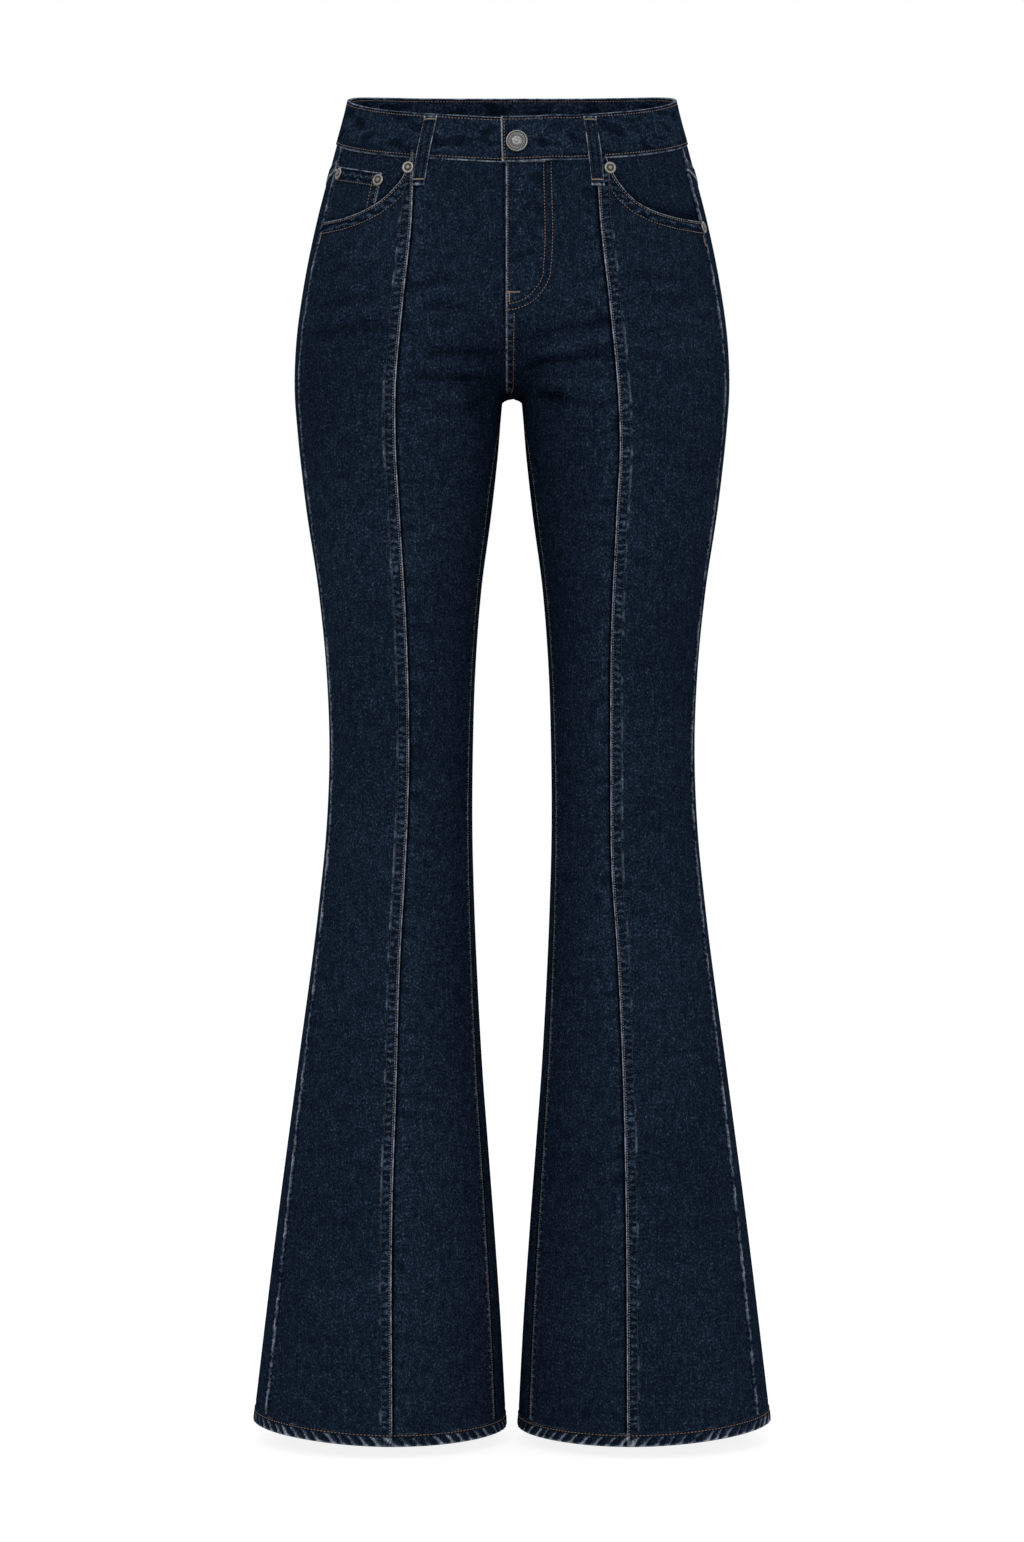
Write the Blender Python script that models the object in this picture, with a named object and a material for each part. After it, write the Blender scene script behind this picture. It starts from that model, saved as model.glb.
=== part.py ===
"""Flared jeans in a worn, hollow form: five pockets, a long seam down each front, flared from the knee.

The origin is the middle of the waist opening at the height of the waistband's top edge at the sides.
+Z is up, the front faces -Y and the wearer's left is +X. Every size is in millimetres until a mesh
is written, where MM turns it into metres.

The cloth follows one surface. Each half of the garment is a stack of rounded loops about the leg's
own axis, and where the two legs meet above the crotch they blend into one body. A point on it is
given by its angle about the leg's axis (0 outwards, 90 to the front, 180 inwards, -90 to the back)
and its height, so a panel is the stretch of that surface between two seams.
"""

import math

import bmesh
import bpy
import numpy as np

MM = 0.001

# Overall sizes
WAIST_LEVEL = -1.6          # waistband's top edge at the sides
WAIST_TILT = 0.255          # it rises to the back: height gained for each mm of depth
WAIST_BOW = -0.0008         # and sags a little at the front and back middle
WAIST_DIP = 3.2             # and dips more at the button
DIP_WIDTH = 42.0            # over about this far to each side
BAND_GAP = 0.5              # between the waistband and the panels under it
BAND_HEIGHT = 35.6
HEM_HEIGHT = -1059.6        # middle of the hem
HEM_LEAN = 2.8              # the hem's inner side hangs this much lower, and the outer side higher
HEM_FRONT_DROP = 4.0
CROTCH_LEVEL = -238.0       # where the two legs meet
SEAT_SLOPE = 0.62           # above it, how quickly the inner ends of the loops cross the middle
SEAT_CURVE = 1.1            # and how that grows towards the waist
SEAT_SPAN = 60.0            # over this height
SEAT_LAG = 0.3              # once this share of it has passed
SEAT_EASE = 4.0             # the crossing starts this softly

# Cloth
CLOTH = 1.5                 # panel wall
BAND_CLOTH = 2.8
BAND_PROUD = 1.0
HEM_CLOTH = 3.0             # wall where the hem is turned up twice
HEM_DEPTH = 10.0
SEAM_GAP = 0.3
LAYER_GAP = 0.45
PATCH_GAP = 0.8             # between two wide layers, whose flat faces bulge towards each other
RIDGE_WIDTH = 9.5           # the lapped front seam
RIDGE_PROUD = 0.7

# One row for each level: height, outer side, axis across, axis depth, front, back
SECTION_COLUMNS = ("z", "outer", "axis", "depth", "front", "back")
SECTIONS = (
    (30.0, 126.5, 42.0, 0.0, -84.0, 76.0),
    (0.0, 130.0, 44.0, 0.0, -88.0, 82.0),
    (-50.0, 142.8, 48.0, 2.0, -94.0, 96.0),
    (-100.0, 156.0, 55.0, 4.0, -99.0, 110.0),
    (-150.0, 166.3, 65.0, 5.0, -102.0, 117.0),
    (-200.0, 172.8, 77.0, 4.0, -102.0, 111.0),
    (-240.0, 173.6, 88.0, 2.0, -99.0, 99.0),
    (-266.0, 171.6, 90.4, 1.0, -96.0, 93.0),
    (-330.0, 164.4, 90.2, 0.0, -89.0, 85.0),
    (-394.0, 154.8, 89.6, 0.0, -83.0, 77.0),
    (-458.0, 148.4, 88.8, 0.0, -74.0, 70.0),
    (-522.0, 146.0, 88.6, 0.0, -66.0, 64.0),
    (-586.0, 148.4, 90.0, 0.0, -64.0, 63.0),
    (-650.0, 154.8, 92.4, 0.0, -66.0, 66.0),
    (-778.0, 171.6, 97.6, 0.0, -72.0, 72.0),
    (-906.0, 188.4, 101.2, 0.0, -78.0, 78.0),
    (-1070.0, 208.0, 106.0, 0.0, -85.0, 85.0),
)
# Half the space between the legs at each height below the crotch
GAP_COLUMNS = ("z", "inner")
GAPS = (
    (-242.0, 8.2),
    (-266.0, 9.6),
    (-330.0, 16.0),
    (-394.0, 24.4),
    (-458.0, 29.2),
    (-522.0, 31.2),
    (-586.0, 31.6),
    (-650.0, 30.0),
    (-714.0, 27.2),
    (-778.0, 23.6),
    (-842.0, 18.8),
    (-906.0, 14.0),
    (-970.0, 9.6),
    (-1070.0, 4.2),
)
RAY = 260.0                 # further than any loop reaches from its axis
LOOP_ROUNDNESS = 2.1        # 2 is an ellipse, more is squarer
CROTCH_SQUARENESS = 0.9     # added to a loop's inner half round the crotch
SQUARE_ABOVE = 120.0        # and how far above and below the crotch it fades
SQUARE_BELOW = 90.0
BLEND_LEAST = 0.5           # how widely the two legs melt together
BLEND_AT_CROTCH = 33.0
BLEND_START = 1.5
BLEND_FADE = 120.0
MIDDLE_REACH = 34.0         # past the middle, each leg's loop counts this far
MIDDLE_SLOPE = 8.0          # and beyond that it falls away this steeply
HALVINGS = 30               # rounds of each search for a place on the surface
PROBE = 0.25                # how far apart the surface is felt for its slope
TINY = 1e-9


def column(table, names, name):
    """One named column of a table, with heights rising."""
    at = names.index(name)
    return np.array([row[at] for row in table][::-1])


def curve_through(heights, values):
    """A smooth function of height through the table's points."""
    slopes = np.gradient(values, heights)

    def value(z):
        z = np.clip(z, heights[0], heights[-1])
        i = np.clip(np.searchsorted(heights, z) - 1, 0, len(heights) - 2)
        step = heights[i + 1] - heights[i]
        t = (z - heights[i]) / step
        rest = 1.0 - t
        return (
            values[i] * rest * rest * (1.0 + 2.0 * t)
            + values[i + 1] * t * t * (3.0 - 2.0 * t)
            + step * slopes[i] * t * rest * rest
            - step * slopes[i + 1] * t * t * rest
        )

    return value


LEVELS = column(SECTIONS, SECTION_COLUMNS, "z")
OUTER = curve_through(LEVELS, column(SECTIONS, SECTION_COLUMNS, "outer"))
AXIS = curve_through(LEVELS, column(SECTIONS, SECTION_COLUMNS, "axis"))
DEPTH = curve_through(LEVELS, column(SECTIONS, SECTION_COLUMNS, "depth"))
FRONT = curve_through(LEVELS, column(SECTIONS, SECTION_COLUMNS, "front"))
BACK = curve_through(LEVELS, column(SECTIONS, SECTION_COLUMNS, "back"))
LEG_GAP = curve_through(column(GAPS, GAP_COLUMNS, "z"), column(GAPS, GAP_COLUMNS, "inner"))


def smooth(t):
    t = np.clip(t, 0.0, 1.0)
    return t * t * (3.0 - 2.0 * t)


def inner_end(z):
    """Where a loop's inner end stands. Above the crotch it runs past the middle, so the loop opens."""
    above = SEAT_EASE * np.logaddexp(0.0, (z - CROTCH_LEVEL) / SEAT_EASE)
    return LEG_GAP(z) - SEAT_SLOPE * above * (1.0 + SEAT_CURVE * smooth(above / SEAT_SPAN - SEAT_LAG))


def loop_distance(x, y, z):
    """How far outside one leg's loop a point stands, along the ray from the leg's axis."""
    across = x - AXIS(z)
    along = y - DEPTH(z)
    half_across = np.where(across > 0.0, OUTER(z) - AXIS(z), AXIS(z) - inner_end(z))
    half_along = np.where(along < 0.0, DEPTH(z) - FRONT(z), BACK(z) - DEPTH(z))
    from_crotch = z - CROTCH_LEVEL
    fade = np.where(from_crotch > 0.0, from_crotch / SQUARE_ABOVE, -from_crotch / SQUARE_BELOW)
    square = 1.0 - smooth(fade)
    roundness = LOOP_ROUNDNESS + np.where(across > 0.0, 0.0, CROTCH_SQUARENESS * square)
    gauge = np.abs(across / half_across) ** roundness + np.abs(along / half_along) ** roundness
    gauge = np.maximum(gauge, TINY) ** (1.0 / roundness)
    return np.hypot(across, along) * (1.0 - 1.0 / gauge)


def cloth_distance(x, y, z):
    """The two legs' loops, melted together where they meet."""
    here = loop_distance(x, y, z) + MIDDLE_SLOPE * np.maximum(-x - MIDDLE_REACH, 0.0)
    there = loop_distance(-x, y, z) + MIDDLE_SLOPE * np.maximum(x - MIDDLE_REACH, 0.0)
    start = smooth((z - CROTCH_LEVEL + BLEND_START) / (2.0 * BLEND_START))
    width = BLEND_LEAST + BLEND_AT_CROTCH * start * (1.0 - smooth((z - CROTCH_LEVEL) / BLEND_FADE))
    meet = np.maximum(width - np.abs(here - there), 0.0) / width
    return np.minimum(here, there) - meet * meet * width / 4.0


def surface(angle, z):
    """The cloth's point at an angle, in degrees, about the leg's axis and a height."""
    angle, z = np.broadcast_arrays(np.asarray(angle, float), np.asarray(z, float))
    across, along = np.cos(np.radians(angle)), -np.sin(np.radians(angle))
    axis, depth = AXIS(z), DEPTH(z)

    def inside(reach):
        return cloth_distance(axis + reach * across, depth + reach * along, z) <= 0.0

    inwards = np.maximum(-across, TINY)
    to_middle = np.minimum(RAY, axis / inwards)
    open_middle = inside(to_middle) & (z > CROTCH_LEVEL - BLEND_START)
    low = np.where(open_middle, to_middle, 0.0)
    high = np.where(open_middle, np.minimum(RAY, (axis + MIDDLE_REACH) / inwards), to_middle)
    for _ in range(HALVINGS):
        middle = (low + high) / 2.0
        within = inside(middle)
        low = np.where(within, middle, low)
        high = np.where(within, high, middle)
    return np.stack([axis + low * across, depth + low * along, z], axis=-1)


def outward(points):
    """Unit vectors square to the cloth, pointing out of the garment."""
    x, y, z = points[..., 0], points[..., 1], points[..., 2]
    slope = np.stack([
        cloth_distance(x + PROBE, y, z) - cloth_distance(x - PROBE, y, z),
        cloth_distance(x, y + PROBE, z) - cloth_distance(x, y - PROBE, z),
        cloth_distance(x, y, z + PROBE) - cloth_distance(x, y, z - PROBE),
    ], axis=-1)
    return slope / np.linalg.norm(slope, axis=-1, keepdims=True)


def angle_at(across, z, facing):
    """The angle at which the cloth stands this far from the middle; facing is 1 in front, -1 behind."""
    across, z = np.broadcast_arrays(np.asarray(across, float), np.asarray(z, float))
    low = np.full(z.shape, 1.0)
    high = np.full(z.shape, 179.99)
    for _ in range(HALVINGS):
        middle = (low + high) / 2.0
        beyond = surface(facing * middle, z)[..., 0] > across
        low = np.where(beyond, middle, low)
        high = np.where(beyond, high, middle)
    return facing * low


def arc_angle(length, angle, z):
    """The turn about the leg's axis that a length along the cloth makes."""
    point = surface(angle, z)
    return np.degrees(length / np.hypot(point[..., 0] - AXIS(z), point[..., 1] - DEPTH(z)))


# Seams. side is 1 for the wearer's left half and -1 for the right, and the right half is the left
# one's mirror image except where a table has a column for each.

SIDE_SEAM_ANGLE = 18.0
INSEAM_ANGLE = 165.0        # the inseam stands under the crotch and leans to the front below it
INSEAM_LEAN_DEPTH = 70.0
FLY_SHIFT = 5.0             # the centre front seam's edge stands this far to the wearer's right
FLY_SHIFT_FADE = 60.0
SEAM_COLUMNS = ("z", "right", "left")
FRONT_SEAM = (
    (-60.0, 76.0, 65.0),
    (-113.0, 77.5, 68.0),
    (-177.0, 84.0, 75.0),
    (-249.0, 90.0, 82.0),
    (-283.0, 90.0, 83.5),
    (-341.0, 87.0, 81.0),
    (-421.0, 82.5, 77.5),
    (-536.0, 80.5, 77.0),
    (-618.0, 83.5, 78.0),
    (-678.0, 87.0, 82.0),
    (-796.0, 90.5, 87.0),
    (-873.0, 93.0, 88.5),
    (-1070.0, 93.0, 89.5),
)
MOUTH_COLUMNS = ("right", "left", "z")      # angles on each side, and the height there
POCKET_MOUTH = (
    (73.2, 76.4, -64.0),
    (71.6, 74.6, -76.0),
    (67.8, 71.2, -88.0),
    (63.5, 67.6, -96.0),
    (56.0, 61.0, -103.0),
    (46.5, 51.0, -107.0),
    (33.0, 36.0, -107.5),
    (10.0, 10.0, -102.0),
)
MIDDLE_ANGLE = 116.0        # about where the middle of the front stands at the waist
YOKE_AT_SIDE = -66.0        # heights of the yoke's lower edge
YOKE_AT_BACK = -96.0
SIDES = {"left": 1, "right": -1}


def by_side(side, columns):
    return columns.index("left" if side > 0 else "right")


def front_seam_angle(z, side):
    heights = column(FRONT_SEAM, SEAM_COLUMNS, "z")
    offsets = column(FRONT_SEAM, SEAM_COLUMNS, SEAM_COLUMNS[by_side(side, SEAM_COLUMNS)])
    return angle_at(curve_through(heights, offsets)(z), z, 1)


def mouth_height(angle, side):
    angles = column(POCKET_MOUTH, MOUTH_COLUMNS, MOUTH_COLUMNS[by_side(side, MOUTH_COLUMNS)])
    heights = column(POCKET_MOUTH, MOUTH_COLUMNS, "z")
    height = curve_through(angles, heights)(angle)
    return np.where(np.asarray(angle) > angles[-1], 0.0, height)


CROTCH_SEARCH = (-10.0, 20.0)               # looked for between these heights from its level


def find_crotch():
    low, high = CROTCH_LEVEL + CROTCH_SEARCH[0], CROTCH_LEVEL + CROTCH_SEARCH[1]
    for _ in range(HALVINGS):
        middle = (low + high) / 2.0
        if cloth_distance(np.array(0.0), DEPTH(middle), middle) > 0.0:
            low = middle
        else:
            high = middle
    return high


CROTCH = find_crotch()


def centre_edge(z, side, facing):
    """Angle of a half's edge along the centre seam above the crotch, and along the inseam below it."""
    shift = FLY_SHIFT * smooth((z - CROTCH) / FLY_SHIFT_FADE) * (facing > 0)
    above = angle_at(SEAM_GAP / 2.0 - side * shift, np.maximum(z, CROTCH + TINY), facing)
    lean = (180.0 - INSEAM_ANGLE) * smooth((CROTCH - z) / INSEAM_LEAN_DEPTH)
    inseam = 180.0 - lean if facing > 0 else -180.0 - lean
    below = inseam - facing * arc_angle(SEAM_GAP / 2.0, inseam, z)
    return np.where(z > CROTCH, above, below)


def side_edge(z, facing):
    return SIDE_SEAM_ANGLE + facing * arc_angle(SEAM_GAP / 2.0, SIDE_SEAM_ANGLE, z)


# Upper and lower edges, as heights over the angle

RIM_ANGLES = np.linspace(-125.0, 125.0, 251)
RIM = surface(RIM_ANGLES, 0.0)


def band_top(angle):
    across = np.interp(angle, RIM_ANGLES, RIM[:, 0])
    depth = np.interp(angle, RIM_ANGLES, RIM[:, 1])
    dip = WAIST_DIP * np.exp(-((across / DIP_WIDTH) ** 2)) * (depth < 0.0)
    return WAIST_LEVEL + WAIST_TILT * depth + WAIST_BOW * depth * depth - dip


def band_bottom(angle):
    return band_top(angle) - BAND_HEIGHT


MIDDLE_BACK = angle_at(0.0, np.array(YOKE_AT_BACK), -1)


def yoke_bottom(angle):
    share = np.clip((angle - SIDE_SEAM_ANGLE) / (MIDDLE_BACK - SIDE_SEAM_ANGLE), 0.0, 1.0)
    return YOKE_AT_SIDE + (YOKE_AT_BACK - YOKE_AT_SIDE) * share


def hem(angle):
    turn = np.radians(angle)
    front = np.maximum(np.sin(turn), 0.0) ** 2
    return HEM_HEIGHT + HEM_LEAN * np.cos(turn) - HEM_FRONT_DROP * front


# Heights that an edge is tabulated at: from the hem to the waist, and closer round the crotch
TABLE_FOOT = -1075.0
TABLE_HEAD = 30.0
TABLE_STEP = 5.0
TABLE_CLOSE = 10.0
CLOSE_STEPS = np.linspace(-1.0, 1.0, 21)
TABLE_HEIGHTS = np.concatenate([
    np.arange(TABLE_FOOT, CROTCH - TABLE_CLOSE, TABLE_STEP),
    CROTCH + TABLE_CLOSE * CLOSE_STEPS * np.abs(CLOSE_STEPS),
    np.arange(CROTCH + TABLE_CLOSE + TABLE_STEP / 2.0, TABLE_HEAD, TABLE_STEP),
])


def tabulated(edge):
    """The same edge read from a fine table, for working out where a panel's columns go."""
    angles = edge(TABLE_HEIGHTS)
    return lambda z: np.interp(z, TABLE_HEIGHTS, angles)


# Rows shared by all long panels: heights at the side, which bend to each panel's own top and hem

ROW_TOP = WAIST_LEVEL - BAND_HEIGHT
TOP_FADE = 195.0
HEM_FADE = 100.0
RISE_ROWS = 12
RISE_SAMPLES = 90
RISE_CROWDING = 2.2         # how closely the seam is sampled towards the crotch
RISE_START = 0.02
ARCH_STEPS = (0.02, 0.8, 2.5, 7.0, 18.0, 42.0)      # rows just under the crotch, as drops from it
LEG_ROWS = 14
FOLD_STEP = 0.6             # the wall thickens to the turned-up hem over this height
SETTLE_ROUNDS = 8


def rise_rows():
    """Heights that stand at even steps along the centre front seam, from the waistband to the crotch."""
    share = np.linspace(RISE_START, 1.0, RISE_SAMPLES)
    heights = CROTCH + (ROW_TOP - CROTCH) * share ** RISE_CROWDING
    seam = surface(angle_at(SEAM_GAP / 2.0, heights, 1), heights)
    steps = np.linalg.norm(np.diff(seam, axis=0), axis=1)
    start = abs(seam[0, 1] - DEPTH(CROTCH))
    run = start + np.concatenate([[0.0], np.cumsum(steps)])
    return np.interp(np.linspace(run[-1], 0.0, RISE_ROWS + 1)[:-1], run, heights)


def row_heights():
    """Rows that crowd round the crotch, for a panel's inner edge, and even ones for its outer edge."""
    arch = CROTCH - np.array(ARCH_STEPS)
    crowded = np.concatenate([rise_rows(), arch])
    even = np.linspace(ROW_TOP, arch[-1], len(crowded))
    fold = HEM_HEIGHT + HEM_DEPTH
    legs = np.linspace(arch[-1], fold, LEG_ROWS + 1)[1:]
    lower = np.concatenate([legs, [fold - FOLD_STEP, HEM_HEIGHT]])
    return np.concatenate([crowded, lower]), np.concatenate([even, lower])


INNER_ROWS, OUTER_ROWS = row_heights()
CROWDING = 1.6              # how soon the rows even out away from the inner edge


def settle(edge_a, edge_b, shares, height_at):
    """Angles and heights of a grid between two seams, whose rows follow edges that depend on the angle."""
    near_a, near_b = tabulated(edge_a), tabulated(edge_b)
    z = height_at(np.full(shares.shape, SIDE_SEAM_ANGLE))
    for _ in range(SETTLE_ROUNDS):
        start = near_a(z)
        angle = start + shares * (near_b(z) - start)
        z = height_at(angle)
    angle[:, 0] = edge_a(z[:, 0])
    angle[:, -1] = edge_b(z[:, -1])
    return angle, z


def long_grid(edge_a, edge_b, shares, top, inner_edge=True):
    """A panel that runs from its top edge to the hem; inner_edge says that edge_b is at the crotch."""
    shares = np.broadcast_to(shares, (len(OUTER_ROWS), shares.shape[-1]))
    crowded = shares ** CROWDING if inner_edge else 0.0 * shares
    level = OUTER_ROWS[:, None] * (1.0 - crowded) + INNER_ROWS[:, None] * crowded
    top_pull = 1.0 - smooth((ROW_TOP - level) / TOP_FADE)
    hem_pull = 1.0 - smooth((level - HEM_HEIGHT) / HEM_FADE)

    def height_at(angle):
        return level + top_pull * (top(angle) - ROW_TOP) + hem_pull * (hem(angle) - HEM_HEIGHT)

    return settle(edge_a, edge_b, shares, height_at)


def short_grid(edge_a, edge_b, top, bottom, across, down):
    """A small piece between two seams and two edges."""
    shares = np.broadcast_to(np.linspace(0.0, 1.0, across + 1), (down + 1, across + 1))
    drop = np.linspace(0.0, 1.0, down + 1)[:, None]

    def height_at(angle):
        upper = top(angle)
        return upper + drop * (bottom(angle) - upper)

    return settle(edge_a, edge_b, shares, height_at)


# Meshes

# Base colour, roughness and metallic
COLOURS = {
    "denim": ((0.012, 0.019, 0.035), 0.9, 0.0),
    "zip": ((0.03, 0.035, 0.05), 0.7, 0.0),
    "pewter": ((0.3, 0.3, 0.3), 0.35, 1.0),
    "nickel": ((0.5, 0.48, 0.45), 0.35, 1.0),
}


def finish(name, points, faces, colour, smooth_below=40.0):
    """An object of its own from points in millimetres, with its own material."""
    mesh = bpy.data.meshes.new(name)
    mesh.from_pydata([[value * MM for value in point] for point in points], [], faces)
    form = bmesh.new()
    form.from_mesh(mesh)
    bmesh.ops.recalc_face_normals(form, faces=form.faces)
    form.to_mesh(mesh)
    form.free()
    mesh.shade_smooth()
    mesh.set_sharp_from_angle(angle=math.radians(smooth_below))
    base, roughness, metallic = COLOURS[colour]
    material = bpy.data.materials.new(name)
    material.use_nodes = True
    shader = material.node_tree.nodes["Principled BSDF"]
    shader.inputs["Base Color"].default_value = (*base, 1.0)
    shader.inputs["Roughness"].default_value = roughness
    shader.inputs["Metallic"].default_value = metallic
    mesh.materials.append(material)
    piece = bpy.data.objects.new(name, mesh)
    bpy.context.collection.objects.link(piece)
    return piece


def wall(name, outer, inner, side, colour="denim"):
    """A closed wall between two sheets of points, rows by columns."""
    rows, columns = outer.shape[:2]
    mirror = np.array([side, 1.0, 1.0])
    points = np.concatenate([outer.reshape(-1, 3), inner.reshape(-1, 3)]) * mirror
    behind = rows * columns

    def at(row, across, sheet=0):
        return sheet * behind + row * columns + across

    faces = []
    for row in range(rows - 1):
        for across in range(columns - 1):
            for sheet in (0, 1):
                faces.append((at(row, across, sheet), at(row, across + 1, sheet),
                              at(row + 1, across + 1, sheet), at(row + 1, across, sheet)))
    border = [(0, across) for across in range(columns)]
    border += [(row, columns - 1) for row in range(1, rows)]
    border += [(rows - 1, across) for across in range(columns - 2, -1, -1)]
    border += [(row, 0) for row in range(rows - 2, 0, -1)]
    for here, there in zip(border, border[1:] + border[:1]):
        faces.append((at(*here), at(*there), at(*there, 1), at(*here, 1)))
    return finish(name, points, faces, colour)


def layer(name, angle, z, side, top=0.0, cloth=CLOTH, colour="denim"):
    """A wall over the surface; top is how far its outer face stands off it, cloth how thick it is."""
    points = surface(angle, z)
    away = outward(points)
    top = np.broadcast_to(top, z.shape)[..., None]
    cloth = np.broadcast_to(cloth, z.shape)[..., None]
    return wall(name, points + away * top, points + away * (top - cloth), side, colour)


def leg_cloth(z):
    """Wall thickness of a long panel: the hem is turned up."""
    row = np.arange(len(z))[:, None]
    return np.where(row >= len(z) - 2, HEM_CLOTH, CLOTH) * np.ones_like(z)


# Panels. The shares are where a panel's columns stand between its two seams.

FRONT_SHARES = 1.0 - (1.0 - np.linspace(0.0, 1.0, 9)) ** 1.25
SIDE_COLUMNS = 7
RIDGE_FOOT = 1.0            # the raised strip steps down over this width
BACK_SHARES = np.concatenate([np.linspace(0.0, 0.86, 13), [0.92, 0.965, 1.0]])


def below_band(angle):
    return band_bottom(angle) - BAND_GAP


def front_centre(name, side):
    def seam(z):
        angle = front_seam_angle(z, side)
        return angle + arc_angle(SEAM_GAP / 2.0, angle, z)

    angle, z = long_grid(seam, lambda z: centre_edge(z, side, 1), FRONT_SHARES, below_band)
    layer("front_centre_" + name, angle, z, side, cloth=leg_cloth(z))


def front_side(name, side):
    """The side front, whose lapped seam is a raised strip along its inner edge."""
    def seam(z):
        angle = front_seam_angle(z, side)
        return angle - arc_angle(SEAM_GAP / 2.0, angle, z)

    def top(angle):
        return np.minimum(below_band(angle), mouth_height(angle, side))

    level = OUTER_ROWS[:, None]
    start = seam(level)
    width = start - side_edge(level, 1)
    strip = arc_angle(RIDGE_WIDTH, start, level) / width
    foot = arc_angle(RIDGE_WIDTH + RIDGE_FOOT, start, level) / width
    even = foot + (1.0 - foot) * np.linspace(0.0, 1.0, SIDE_COLUMNS)[None, 1:]
    shares = np.concatenate([np.zeros_like(level), strip, foot, even], axis=1)
    angle, z = long_grid(seam, lambda z: side_edge(z, 1), shares, top, inner_edge=False)
    proud = np.zeros_like(z)
    proud[:, :2] = RIDGE_PROUD
    layer("front_side_" + name, angle, z, side, proud, leg_cloth(z) + proud)


def back(name, side):
    def top(angle):
        return yoke_bottom(angle) - SEAM_GAP / 2.0

    angle, z = long_grid(lambda z: side_edge(z, -1), lambda z: centre_edge(z, side, -1), BACK_SHARES, top)
    layer("back_" + name, angle, z, side, cloth=leg_cloth(z))


def yoke(name, side):
    def bottom(angle):
        return yoke_bottom(angle) + SEAM_GAP / 2.0

    angle, z = short_grid(lambda z: side_edge(z, -1), lambda z: centre_edge(z, side, -1),
                          below_band, bottom, across=12, down=3)
    layer("yoke_" + name, angle, z, side)


# Waistband: one strip whose left end laps over its right end, in front

LAP_END = 8.0               # the upper end stands this far to the wearer's right of the middle
UNDERLAP_END = 26.0         # and the lower end this far to the left
LAP_EASE = (46.0, 30.0)     # the upper end rises onto the lower one between these places
LAP_RISE = BAND_CLOTH + LAYER_GAP
BAND_COLUMNS = 34           # on each half
BAND_ROWS = 3


def waistband():
    heights = np.array(band_bottom(MIDDLE_ANGLE))
    end_angles = {-1: angle_at(-UNDERLAP_END, heights, 1), 1: angle_at(-LAP_END, heights, 1)}
    back_angle = angle_at(0.0, np.array(float(band_bottom(-90.0))), -1)
    rows = np.linspace(0.0, 1.0, BAND_ROWS)[:, None]
    halves = []
    for side in (-1, 1):
        angle = np.linspace(end_angles[side], back_angle, BAND_COLUMNS + 1)[None, :]
        z = band_top(angle) - rows * BAND_HEIGHT
        angle = np.broadcast_to(angle, z.shape)
        points = surface(angle, z)
        away = outward(points)
        lap = smooth((LAP_EASE[0] - points[..., 0]) / (LAP_EASE[0] - LAP_EASE[1])) * (angle > 0.0)
        lift = BAND_PROUD + (LAP_RISE * lap if side > 0 else 0.0)
        lift = np.broadcast_to(lift, z.shape)[..., None]
        mirror = np.array([side, 1.0, 1.0])
        halves.append(((points + away * lift) * mirror, (points + away * (lift - BAND_CLOTH)) * mirror))
    right, left = halves
    outer = np.concatenate([right[0], left[0][:, -2::-1]], axis=1)
    inner = np.concatenate([right[1], left[1][:, -2::-1]], axis=1)
    wall("waistband", outer, inner, 1)


# Front pockets, coin pocket and fly

POCKET_CLOTH = 1.2
POCKET_TOP = -(CLOTH + PATCH_GAP)           # outer face of the pocket back, under the front panel
POCKET_ANGLES = (13.0, 88.0)
BAG_DEPTH = 118.0                           # the bag's bottom below the waistband
BAG_ROUND = 36.0                            # its bottom corners rise this much
COIN_ANGLES = (24.0, 60.0)
COIN_TOP = (-61.5, -75.0)                   # heights of its top edge at those angles
COIN_FOOT_GAP = 1.0                         # its foot ends just above the mouth
SHIELD_CLOTH = 1.5
ZIP_CLOTH = 1.0
ZIP_REACH = 13.0
SHIELD_REACH = (-15.0, 33.0)
FLY_END = -178.0
FLY_GAP = 1.1               # the zip stands this far behind the fronts, which turn sharply at the middle
STRIP_COLUMNS = 8
STRIP_ROWS = 10


def front_pocket(name, side):
    first, last = POCKET_ANGLES

    def bottom(angle):
        across = (angle - first) / (last - first) * 2.0 - 1.0
        return band_bottom(angle) - BAG_DEPTH + BAG_ROUND * across ** 4

    angle, z = short_grid(lambda z: np.full_like(z, first), lambda z: np.full_like(z, last),
                          below_band, bottom, across=10, down=8)
    layer("front_pocket_" + name, angle, z, side, POCKET_TOP, POCKET_CLOTH, "denim")


def coin_pocket(side):
    first, last = COIN_ANGLES
    ends = np.array(COIN_ANGLES)

    def top(angle):
        return np.interp(angle, ends, COIN_TOP)

    def bottom(angle):
        return mouth_height(angle, side) + COIN_FOOT_GAP

    angle, z = short_grid(lambda z: np.full_like(z, first), lambda z: np.full_like(z, last),
                          top, bottom, across=6, down=3)
    layer("coin_pocket", angle, z, side, POCKET_TOP + LAYER_GAP + POCKET_CLOTH, POCKET_CLOTH)


def middle_strip(name, reach, top, cloth, colour):
    """A flat strip behind the fly, from the waistband to the fly's end; reach is across, left positive."""
    across = np.linspace(reach[0], reach[1], STRIP_COLUMNS)[None, :]
    drop = np.linspace(0.0, 1.0, STRIP_ROWS)[:, None]
    upper = band_bottom(MIDDLE_ANGLE) - BAND_GAP
    z = np.broadcast_to(upper + drop * (FLY_END - upper), (STRIP_ROWS, STRIP_COLUMNS))
    angle = angle_at(across, z, 1)
    layer(name, angle, z, 1, top, cloth, colour)


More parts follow.
